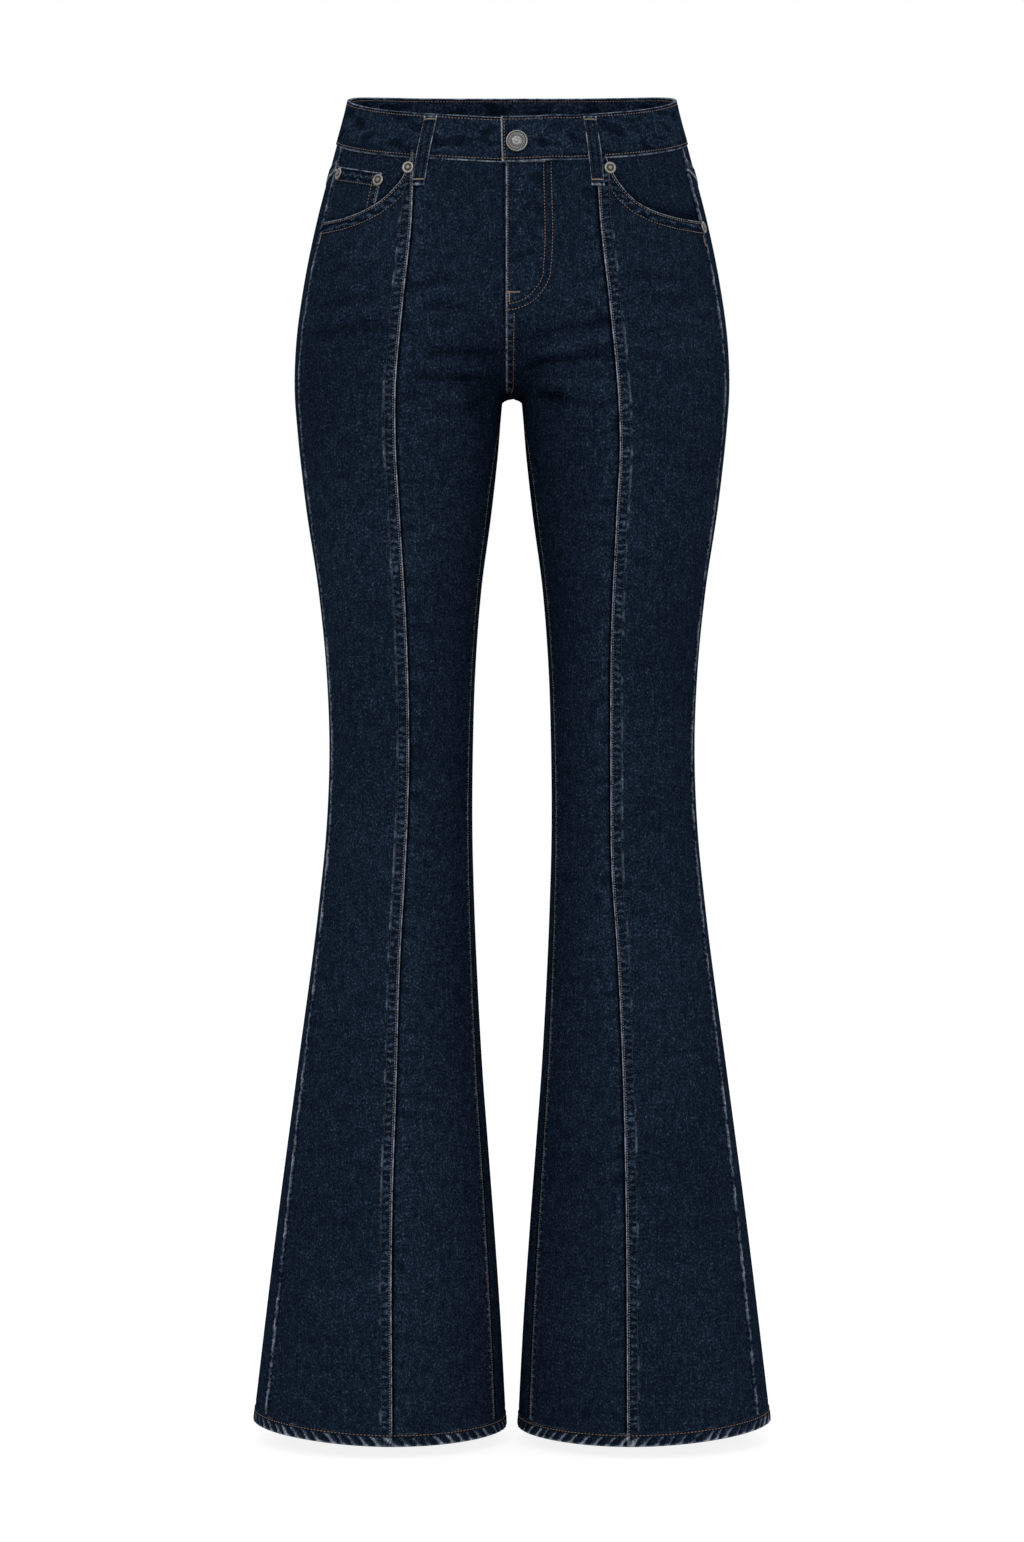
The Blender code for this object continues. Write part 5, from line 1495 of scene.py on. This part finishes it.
SIDE_TACK_TURN = 2.4        # the bar tack under a pocket's outer corner stands this far from the side seam
SIDE_TACKS = ((-1, -115.5, -124.5), (1, -118.0, -126.0))        # side, and the tack's two heights
SIDE_TACK_STAND = 1.1
HOLE_LEVEL = -49.6          # the buttonhole's height, its two ends, and half its width
HOLE_ENDS = (11.6, 20.0)
HOLE_HALF = 0.55


def front_rows():
    for thread, stand, places in FRONT_ROWS:
        sew("waist", thread, *front_line(places), stand=stand)
    for side, *heights in SIDE_TACKS:
        line = surface(SIDE_SEAM_ANGLE + SIDE_TACK_TURN, np.linspace(*heights, 20))
        sew("pockets", "tack_thin", line, outward(line), side, SIDE_TACK_STAND)
    for step in (-HOLE_HALF, HOLE_HALF):
        line, ups = across_middle(np.linspace(*HOLE_ENDS, 24), np.full(24, HOLE_LEVEL + step), 1)
        sew("waist", "hole", line, ups, stand=BAND_PROUD + LAP_RISE + 0.1)


# Stitches: a Geometry Nodes tree that lays threads along rows

# Thread: colour of a stitch, space from one to the next, length, width, height, unevenness
THREADS = {
    "tan": ((118, 98, 85), 2.5, 1.9, 0.60, 0.45, 0.18),
    "pale": ((120, 106, 98), 2.0, 1.35, 0.62, 0.45, 0.22),
    "dim": ((40, 40, 46), 2.1, 1.5, 0.62, 0.40, 0.22),
    "brown": ((112, 84, 68), 2.9, 2.4, 0.72, 0.55, 0.14),
    "navy": ((10, 13, 21), 2.4, 2.0, 0.70, 0.45, 0.10),
    "tack": ((116, 103, 92), 0.5, 0.65, 1.5, 0.7, 0.35),
    "tack_thin": ((116, 103, 92), 0.5, 0.65, 1.2, 0.7, 0.35),
    "hole": ((16, 21, 31), 0.55, 0.6, 1.0, 0.5, 0.25),
    "teeth": ((120, 100, 62), 1.9, 1.1, 4.2, 1.0, 0.0),
}
SIZES = ("Pitch", "Stitch Length", "Stitch Width", "Stitch Height", "Unevenness")
INPUTS = {**dict.fromkeys(SIZES, "NodeSocketFloat"), "Seed": "NodeSocketInt", "Thread": "NodeSocketMaterial"}


def feed(tree, fed, inputs):
    """Gives a node's inputs their values, or links them to another node's output."""
    for key, value in inputs.items():
        if isinstance(value, bpy.types.NodeSocket):
            tree.links.new(value, fed.inputs[key])
        else:
            fed.inputs[key].default_value = value


def node(tree, kind, inputs=None, **settings):
    made = tree.nodes.new(kind)
    for key, value in settings.items():
        setattr(made, key, value)
    feed(tree, made, inputs or {})
    return made


def calc(tree, operation, first, second=0.0, clamp=False):
    made = node(tree, "ShaderNodeMath", {0: first, 1: second}, operation=operation, use_clamp=clamp)
    return made.outputs[0]


def stitch_tree():
    tree = bpy.data.node_groups.new("Stitch rows", "GeometryNodeTree")
    tree.interface.new_socket("Geometry", in_out="INPUT", socket_type="NodeSocketGeometry")
    for name, kind in INPUTS.items():
        tree.interface.new_socket(name, in_out="INPUT", socket_type=kind)
    tree.interface.new_socket("Geometry", in_out="OUTPUT", socket_type="NodeSocketGeometry")
    given = node(tree, "NodeGroupInput").outputs
    lines = node(tree, "GeometryNodeMeshToCurve", {"Mesh": given["Geometry"]}).outputs[0]
    steps = node(tree, "GeometryNodeResampleCurve", {"Curve": lines, "Length": given["Pitch"]},
                 mode="LENGTH").outputs[0]
    thread = node(tree, "GeometryNodeMeshUVSphere", {"Segments": 6, "Rings": 4, "Radius": 0.5}).outputs[0]
    tangent = node(tree, "GeometryNodeInputTangent").outputs[0]
    up = node(tree, "GeometryNodeInputNamedAttribute", {"Name": "up"}, data_type="FLOAT_VECTOR").outputs[0]
    turn = node(tree, "FunctionNodeAxesToRotation", {"Primary Axis": tangent, "Secondary Axis": up},
                primary_axis="X", secondary_axis="Z").outputs[0]
    low = calc(tree, "SUBTRACT", 1.0, given["Unevenness"])
    high = calc(tree, "ADD", 1.0, given["Unevenness"])
    vary = node(tree, "FunctionNodeRandomValue", {2: low, 3: high, "Seed": given["Seed"]}, data_type="FLOAT")
    length = calc(tree, "MULTIPLY", given["Stitch Length"], vary.outputs[1])
    size = node(tree, "ShaderNodeCombineXYZ",
                {"X": length, "Y": given["Stitch Width"], "Z": given["Stitch Height"]}).outputs[0]
    placed = node(tree, "GeometryNodeInstanceOnPoints",
                  {"Points": steps, "Instance": thread, "Rotation": turn, "Scale": size}).outputs[0]
    real = node(tree, "GeometryNodeRealizeInstances", {"Geometry": placed}).outputs[0]
    soft = node(tree, "GeometryNodeSetShadeSmooth", {"Geometry": real}).outputs[0]
    done = node(tree, "GeometryNodeSetMaterial", {"Geometry": soft, "Material": given["Thread"]}).outputs[0]
    node(tree, "NodeGroupOutput", {"Geometry": done})
    return tree


def sew_rows(tree):
    """Each thread's rows in each group become one mesh of stitches; gives back every one."""
    sewn = []
    for seed, ((group, thread), rows) in enumerate(sorted(ROWS.items())):
        _rgb, pitch, length, width, height, unevenness = THREADS[thread]
        points, ups = [np.concatenate(parts) for parts in zip(*rows)]
        edges, start = [], 0
        for line, _ups in rows:
            edges += [(start + i, start + i + 1) for i in range(len(line) - 1)]
            start += len(line)
        mesh = bpy.data.meshes.new("rows")
        mesh.from_pydata((points * MM).tolist(), edges, [])
        held = mesh.attributes.new("up", "FLOAT_VECTOR", "POINT")
        held.data.foreach_set("vector", ups.astype(np.float32).ravel())
        piece = linked(f"stitches_{group}_{thread}", mesh)
        modifier = piece.modifiers.new("Stitch rows", "NODES")
        modifier.node_group = tree
        given = {item.name: item.identifier for item in tree.interface.items_tree if item.in_out == "INPUT"}
        sizes = (pitch * MM, length * MM, width * MM, height * MM, unevenness)
        for name, value in zip(INPUTS, (*sizes, seed, MATERIALS["thread_" + thread])):
            modifier[given[name]] = value
        bpy.context.view_layer.update()
        plain = bpy.data.meshes.new_from_object(piece.evaluated_get(bpy.context.evaluated_depsgraph_get()))
        piece.modifiers.remove(modifier)
        piece.data = plain
        sewn.append((piece, "zip" if group == "zip" else "denim"))
    return sewn


# Materials

MATERIALS = {}


def linear(rgb):
    """A colour given as 0 to 255 in sRGB, as the shaders take it."""
    shares = [value / 255.0 for value in rgb]
    return tuple([s / 12.92 if s <= 0.04045 else ((s + 0.055) / 1.055) ** 2.4 for s in shares] + [1.0])


def material(name):
    made = bpy.data.materials.new(name)
    made.use_nodes = True
    MATERIALS[name] = made
    return made.node_tree, made.node_tree.nodes["Principled BSDF"]


def marked(tree, name):
    """The mark of this name that each point of a mesh carries."""
    return node(tree, "ShaderNodeAttribute", attribute_name=name).outputs["Fac"]


def noise(tree, place, scale, detail=2.0, roughness=0.5):
    return node(tree, "ShaderNodeTexNoise", {"Vector": place, "Scale": scale, "Detail": detail,
                                             "Roughness": roughness}).outputs[0]


def stretched(tree, place, across, along):
    return node(tree, "ShaderNodeVectorMath", {0: place, 1: (across, along, 1.0)},
                operation="MULTIPLY").outputs[0]


def weave(tree, cloth, scale, direction):
    """The weave's bands over the cloth's map, which is taken in mm."""
    flat = stretched(tree, cloth, 1.0 / MM, 1.0 / MM)
    return node(tree, "ShaderNodeTexWave", {"Vector": flat, "Scale": scale},
                wave_type="BANDS", bands_direction=direction).outputs["Fac"]


def added(tree, total, parts):
    """The total and each part times its weight."""
    for value, weight in parts:
        total = calc(tree, "ADD", total, calc(tree, "MULTIPLY", value, weight))
    return total


def weighted(tree, parts, middle):
    """The middle value and each noise's own swing."""
    return added(tree, middle, [(calc(tree, "SUBTRACT", value, 0.5), weight) for value, weight in parts])


def scaled(tree, colour, value):
    return node(tree, "ShaderNodeVectorMath", {0: colour, "Scale": value}, operation="SCALE").outputs[0]


def bumped(tree, height, strength, distance):
    return node(tree, "ShaderNodeBump", {"Strength": strength, "Distance": distance,
                                         "Height": height}).outputs[0]


PUCKER_STEP = 0.0056        # from one pucker to the next along a sewn edge
DENIM_STOPS = ((0.05, (4, 8, 15)), (0.40, (12, 20, 31)), (0.60, (23, 34, 49)), (1.00, (68, 83, 104)))
REVERSE_STOPS = ((0.10, (34, 42, 56)), (0.40, (62, 72, 88)), (0.60, (84, 96, 112)), (0.90, (140, 150, 164)))
# The yarn's patterns: how fine across and along the warp, detail, roughness, how much it shades the cloth
YARN = {
    "flecks": (820.0, 560.0, 1.0, 0.5, 0.76),
    "fine": (1400.0, 1100.0, 1.0, 0.5, 0.50),
    "grain": (540.0, 430.0, 1.0, 0.5, 0.44),
    "mottle": (180.0, 110.0, 2.0, 0.6, 0.34),
    "slub": (420.0, 60.0, 2.0, 0.5, 0.25),
}
WASH = 0.14
MIDDLE_SHADE = 0.482


def denim(name, stops, worn_colour, strength=1.0):
    """Indigo twill: dark and pale flecks along the warp, rubbed pale where it is worn, with painted highlights
    and painted shade where its marks say.
    """
    tree, shader = material(name)
    cloth = node(tree, "ShaderNodeUVMap", uv_map="Cloth").outputs[0]
    body = node(tree, "ShaderNodeTexCoord").outputs["Object"]
    yarn = {key: noise(tree, stretched(tree, cloth, across, along), 1.0, detail, roughness)
            for key, (across, along, detail, roughness, _shade) in YARN.items()}
    flecks, fine, mottle, slub = [yarn[key] for key in ("flecks", "fine", "mottle", "slub")]
    wash = noise(tree, body, 9.0, 2.0)
    crease = noise(tree, stretched(tree, cloth, 50.0, 92.0), 1.0, 1.5, 0.5)
    crease_swing = calc(tree, "SUBTRACT", crease, 0.5)
    wear_and_highlight, painted_shade_and_patina, pucker, crumple = [marked(tree, key) for key in MARKS]
    rows = node(tree, "ShaderNodeSeparateXYZ", {0: cloth}).outputs[1]
    bend = noise(tree, cloth, 160.0, 1.0)
    phase = added(tree, calc(tree, "MULTIPLY", rows, 2.0 * math.pi / PUCKER_STEP), ((bend, 9.0),))
    # The puckers' ripple is both a bump and painted light and shade along sewn edges.
    gather = calc(tree, "MULTIPLY", calc(tree, "SINE", phase), pucker)
    gather = calc(tree, "MULTIPLY", gather, weighted(tree, ((mottle, 2.6),), 0.8))
    # Painted highlights on the crumples' ridges, and painted light and shade over their swing.
    from_ridge = calc(tree, "MULTIPLY", calc(tree, "ABSOLUTE", crease_swing), 7.0)
    painted_ridge_highlight = calc(tree, "SUBTRACT", 1.0, from_ridge, clamp=True)
    painted_ridge_highlight = calc(tree, "MULTIPLY", calc(tree, "MULTIPLY", painted_ridge_highlight, painted_ridge_highlight), crumple)
    painted_crumple_shade = calc(tree, "MULTIPLY", crease_swing, crumple)
    yarn_shades = [(yarn[key], shade * strength) for key, (*_sizes, shade) in YARN.items()]
    # The shade rises with wear and painted highlight, and takes the puckers' and crumples' painted light and
    # shade.
    shade = added(tree, weighted(tree, yarn_shades + [(wash, WASH)], MIDDLE_SHADE), (
        (wear_and_highlight, 0.26), (gather, 0.26), (painted_ridge_highlight, 0.19), (painted_crumple_shade, 0.66), (crumple, -0.06)))
    ramp = node(tree, "ShaderNodeValToRGB", {"Fac": shade})
    steps = ramp.color_ramp.elements
    while len(steps) < len(stops):
        steps.new(0.5)
    for step, (place, rgb) in zip(steps, stops):
        step.position = place
        step.color = linear(rgb)
    edge = calc(tree, "MULTIPLY", calc(tree, "SUBTRACT", wear_and_highlight, 0.22), 1.28, clamp=True)
    uneven = weighted(tree, ((flecks, 1.6), (mottle, 2.4), (fine, 1.2)), 0.62)
    rub = calc(tree, "MULTIPLY", edge, uneven, clamp=True)
    faded = node(tree, "ShaderNodeMix", {"Factor": rub, "A": ramp.outputs["Color"], "B": linear(worn_colour)},
                 data_type="RGBA").outputs["Result"]
    # Painted shade darkens the colour where the points are marked for it.
    painted_shade_factor = calc(tree, "SUBTRACT", 1.0, calc(tree, "MULTIPLY", painted_shade_and_patina, 0.92, clamp=True))
    raised = calc(tree, "MULTIPLY", crease, crumple)
    height = added(tree, calc(tree, "MULTIPLY", weave(tree, cloth, 0.34, "DIAGONAL"), 0.05), (
        (flecks, 0.20), (gather, 0.55), (slub, 0.10), (mottle, 0.35), (raised, 4.0)))
    feed(tree, shader, {"Base Color": scaled(tree, faded, painted_shade_factor), "Roughness": 0.92, "Specular IOR Level": 0.0,
                        "Normal": bumped(tree, height, 0.9, MM)})


def threads():
    for thread, (rgb, *_sizes) in THREADS.items():
        tree, shader = material("thread_" + thread)
        body = node(tree, "ShaderNodeTexCoord").outputs["Object"]
        fibres = noise(tree, body, 2600.0, 1.0)
        patches = noise(tree, body, 90.0, 1.0)
        value = weighted(tree, ((fibres, 0.7), (patches, 0.9)), 1.0)
        cast = thread == "teeth"
        feed(tree, shader, {"Base Color": scaled(tree, linear(rgb)[:3], value),
                            "Roughness": 0.35 if cast else 0.7, "Metallic": 1.0 if cast else 0.0,
                            "Normal": bumped(tree, fibres, 0.5, 0.2 * MM)})


def metal(name, rgb, roughness):
    """Cast metal, darkened in its recesses and scratched a little."""
    tree, shader = material(name)
    body = node(tree, "ShaderNodeTexCoord").outputs["Object"]
    patches = noise(tree, body, 700.0, 3.0)
    grain = noise(tree, body, 3200.0, 2.0)
    clean = calc(tree, "SUBTRACT", 1.0, calc(tree, "MULTIPLY", marked(tree, "painted_shade_and_patina"), 0.85, clamp=True))
    value = calc(tree, "MULTIPLY", weighted(tree, ((patches, 0.5), (grain, 0.3)), 1.0), clean)
    feed(tree, shader, {"Base Color": scaled(tree, linear(rgb)[:3], value), "Metallic": 1.0,
                        "Roughness": added(tree, roughness, ((patches, 0.2),)),
                        "Normal": bumped(tree, patches, 0.4, 0.1 * MM)})


def tape():
    """The zip's woven tape."""
    tree, shader = material("tape")
    cloth = node(tree, "ShaderNodeUVMap", uv_map="Cloth").outputs[0]
    bands = weave(tree, cloth, 0.4, "Y")
    mottle = noise(tree, cloth, 300.0, 2.0)
    value = weighted(tree, ((bands, 0.5), (mottle, 0.6)), 1.0)
    feed(tree, shader, {"Base Color": scaled(tree, linear((38, 42, 54))[:3], value), "Roughness": 0.8,
                        "Normal": bumped(tree, bands, 0.6, 0.2 * MM)})


def materials():
    denim("denim", DENIM_STOPS, (152, 160, 174))
    denim("denim_reverse", REVERSE_STOPS, (160, 166, 176), 0.8)
    threads()
    tape()
    metal("pewter", (122, 122, 122), 0.24)
    metal("nickel", (136, 132, 127), 0.28)


# Metal: turned pieces

def turned(name, rings, place, axis, segments, cloth, radial=None):
    """A solid of revolution: rings give radius, height and how dark it is, and radial adds marks to them."""
    axis = axis / np.linalg.norm(axis)
    one = np.cross(axis, [0.0, 0.0, 1.0])
    one = one / np.linalg.norm(one)
    two = np.cross(axis, one)
    turn = 2.0 * np.pi * np.arange(segments) / segments
    points, shade = [], []
    for radius, height, painted_shade_and_patina in rings:
        height = np.full(segments, height)
        grime = np.full(segments, painted_shade_and_patina)
        if radial is not None:
            raised, wear_and_highlight = radial(radius, turn)
            height, grime = height + raised, grime - wear_and_highlight
        spoke = np.cos(turn)[:, None] * one + np.sin(turn)[:, None] * two
        points.append(place + axis * height[:, None] + radius * spoke)
        shade.append(np.clip(grime, 0.0, 1.0))
    points, shade = np.concatenate(points), np.concatenate(shade)
    faces = []
    for ring in range(len(rings) - 1):
        for step in range(segments):
            beside = (step + 1) % segments
            here, above = ring * segments, (ring + 1) * segments
            faces.append((here + step, here + beside, above + beside, above + step))
    faces.append(tuple(range(segments))[::-1])
    faces.append(tuple(range(len(points) - segments, len(points))))
    side = np.cross(points[1] - points[0], points[segments] - points[0])
    if np.dot(side, points[0] - place) < 0.0:
        faces = [face[::-1] for face in faces]
    mesh = bpy.data.meshes.new(name)
    mesh.from_pydata((points * MM).tolist(), [], faces)
    mesh.attributes.new("painted_shade_and_patina", "FLOAT", "POINT").data.foreach_set("value", shade.astype(np.float32))
    mesh.materials.append(MATERIALS[cloth])
    mesh.shade_smooth()
    mesh.set_sharp_from_angle(angle=math.radians(METAL_SHARPNESS))
    return linked(name, mesh)


# Radius, height and how dark each ring has stayed
BUTTON_RINGS = (
    (3.2, 0.0, 0.8), (3.2, 1.0, 0.8), (7.4, 1.15, 0.8), (8.1, 1.5, 0.4), (8.45, 2.1, 0.1), (8.5, 2.7, 0.0),
    (8.35, 3.2, 0.0), (8.0, 3.5, 0.0), (7.6, 3.55, 0.0), (7.2, 3.35, 0.7), (6.95, 3.05, 1.0), (6.6, 3.0, 0.8),
    (6.1, 3.05, 0.6), (5.5, 3.1, 0.6), (4.9, 3.1, 0.7), (4.5, 3.1, 0.9), (4.2, 3.35, 0.3), (3.8, 3.6, 0.0),
    (3.2, 3.75, 0.0), (2.6, 3.85, 0.0), (2.2, 3.8, 0.25), (1.8, 3.75, 0.25), (1.3, 4.0, 0.0), (0.7, 4.15, 0.0),
    (0.2, 4.2, 0.0),
)
RIVET_RINGS = (
    (4.7, 0.0, 0.6), (4.75, 0.3, 0.3), (4.6, 0.7, 0.0), (4.2, 1.0, 0.0), (3.7, 1.05, 0.1), (3.1, 0.95, 0.35),
    (2.7, 0.75, 1.0), (2.1, 0.7, 1.0), (1.75, 0.95, 0.9), (1.5, 1.35, 0.3), (1.1, 1.55, 0.1), (0.6, 1.6, 0.3),
    (0.15, 1.6, 0.5),
)


def button_marks(radius, turn):
    """A band of short raised dashes, as a plain cast pattern."""
    band = gauss(radius, 5.8, 0.75)
    dashes = smooth((np.cos(turn * 22.0) + 0.3) / 0.8)
    petals = gauss(radius, 3.0, 0.8) * smooth((np.cos(turn * 8.0) + 0.2) / 0.9)
    return 0.38 * band * dashes + 0.18 * petals, 0.5 * band * dashes + 0.1 * petals


def hardware():
    """Each metal piece, the solid that it replaces, and its slot."""
    wanted = [("button", "button", BUTTON_RINGS, 1, *BUTTON_PLACE, BAND_PROUD + LAP_RISE + BUTTON_STAND,
               BUTTON_SEGMENTS, "pewter", button_marks)]
    wanted += [("rivet_" + name, "rivets", RIVET_RINGS, *place, RIVET_SEGMENTS, "nickel", None)
               for name, *place in RIVETS]
    made = []
    for name, slot, rings, side, across, z, stand, segments, cast, marks in wanted:
        point, away = across_middle(np.array(side * across), np.array(z), 1)
        made.append((turned(name, rings, point + away * stand, away, segments, cast, marks), name, slot))
    return made


# Studio: a pale floor, soft light and the camera

CAMERA_DISTANCE = 2.8
CAMERA_HEIGHT = -0.5392
FRAME_HEIGHT = 1.2336       # height of what the camera sees at the object's middle
SENSOR = 24.0
WHITE = (1.0, 1.0, 1.0, 1.0)
FLOOR_LEVEL = -1.0735
FLOOR_REACH = 6.0
FLOOR_GLOW = (0.5, 0.86)    # the floor's own light, as it lights the cloth and as it is seen
SKY_LOW = 0.55              # the studio's light from below, and from above
SKY_HIGH = 1.1
# Name, place, aim, size, power
LAMPS = (
    ("key", (-1.0, -3.2, 1.5), (0.0, 0.0, -0.35), 1.8, 34.0),
    ("fill", (1.6, -2.6, 0.2), (0.0, 0.0, -0.6), 1.8, 12.0),
    ("rim", (0.6, 2.6, 1.4), (0.0, 0.0, -0.3), 1.6, 10.0),
)


def studio():
    scene = bpy.context.scene
    scene.view_settings.view_transform = "Standard"
    data = bpy.data.cameras.new("camera")
    data.sensor_fit = "VERTICAL"
    data.sensor_height = SENSOR
    data.lens = SENSOR * CAMERA_DISTANCE / FRAME_HEIGHT
    camera = linked("camera", data)
    camera.location = (0.0, -CAMERA_DISTANCE, CAMERA_HEIGHT)
    camera.rotation_euler = (math.pi / 2.0, 0.0, 0.0)
    scene.camera = camera
    world = bpy.data.worlds.new("world")
    world.use_nodes = True
    scene.world = world
    tree = world.node_tree
    place = node(tree, "ShaderNodeTexCoord").outputs["Generated"]
    upwards = node(tree, "ShaderNodeSeparateXYZ", {0: place}).outputs[2]
    sky = node(tree, "ShaderNodeMapRange", {"Value": upwards, "From Min": -0.3, "From Max": 0.9,
                                            "To Min": SKY_LOW, "To Max": SKY_HIGH}).outputs[0]
    seen = node(tree, "ShaderNodeLightPath").outputs["Is Camera Ray"]
    feed(tree, tree.nodes["Background"], {"Strength": calc(tree, "MAXIMUM", sky, seen), "Color": WHITE})
    for name, place, aim, size, power in LAMPS:
        light = bpy.data.lights.new(name, "AREA")
        light.shape = "DISK"
        light.size = size
        light.energy = power
        lamp = linked(name, light)
        lamp.location = place
        lamp.rotation_euler = (Vector(aim) - Vector(place)).to_track_quat("-Z", "Y").to_euler()
    mesh = bpy.data.meshes.new("floor")
    signs = ((-1, -1), (1, -1), (1, 1), (-1, 1))
    corners = [(x * FLOOR_REACH, y * FLOOR_REACH, FLOOR_LEVEL) for x, y in signs]
    mesh.from_pydata(corners, [], [(0, 1, 2, 3)])
    tree, shader = material("floor")
    seen = node(tree, "ShaderNodeLightPath").outputs["Is Camera Ray"]
    glow = node(tree, "ShaderNodeMapRange", {"Value": seen, "To Min": FLOOR_GLOW[0], "To Max": FLOOR_GLOW[1]})
    feed(tree, shader, {"Base Color": (0.20, 0.20, 0.20, 1.0), "Roughness": 1.0, "Specular IOR Level": 0.0,
                        "Emission Color": WHITE, "Emission Strength": glow.outputs[0]})
    mesh.materials.append(MATERIALS["floor"])
    floor = linked("floor", mesh)


LEAST_FLAT = 0.0101         # the least flat width or length that build reckons for a piece of cloth


def build():
    materials()
    for name, side in SIDES.items():
        front_centre(name, side)
        front_side(name, side)
        back(name, side)
        yoke(name, side)
        hem_band(name, side)
        front_pocket(name, side)
        back_pocket(name, side)
    waistband()
    coin_pocket(SIDES["right"])
    fly()
    for loop in BELT_LOOPS:
        belt_loop(*loop)
    front_rows()
    sewn = sew_rows(stitch_tree())
    for piece, nodes, (wide, long, area) in PIECES:
        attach(piece, "root")
        if nodes:
            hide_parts(*nodes)
        wide, long = max(wide, LEAST_FLAT), max(long, LEAST_FLAT)
    for piece, slot in sewn:
        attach(piece, "root")
    for piece, node_name, slot in hardware():
        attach(piece, "root")
        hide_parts(node_name)
    studio()


build()
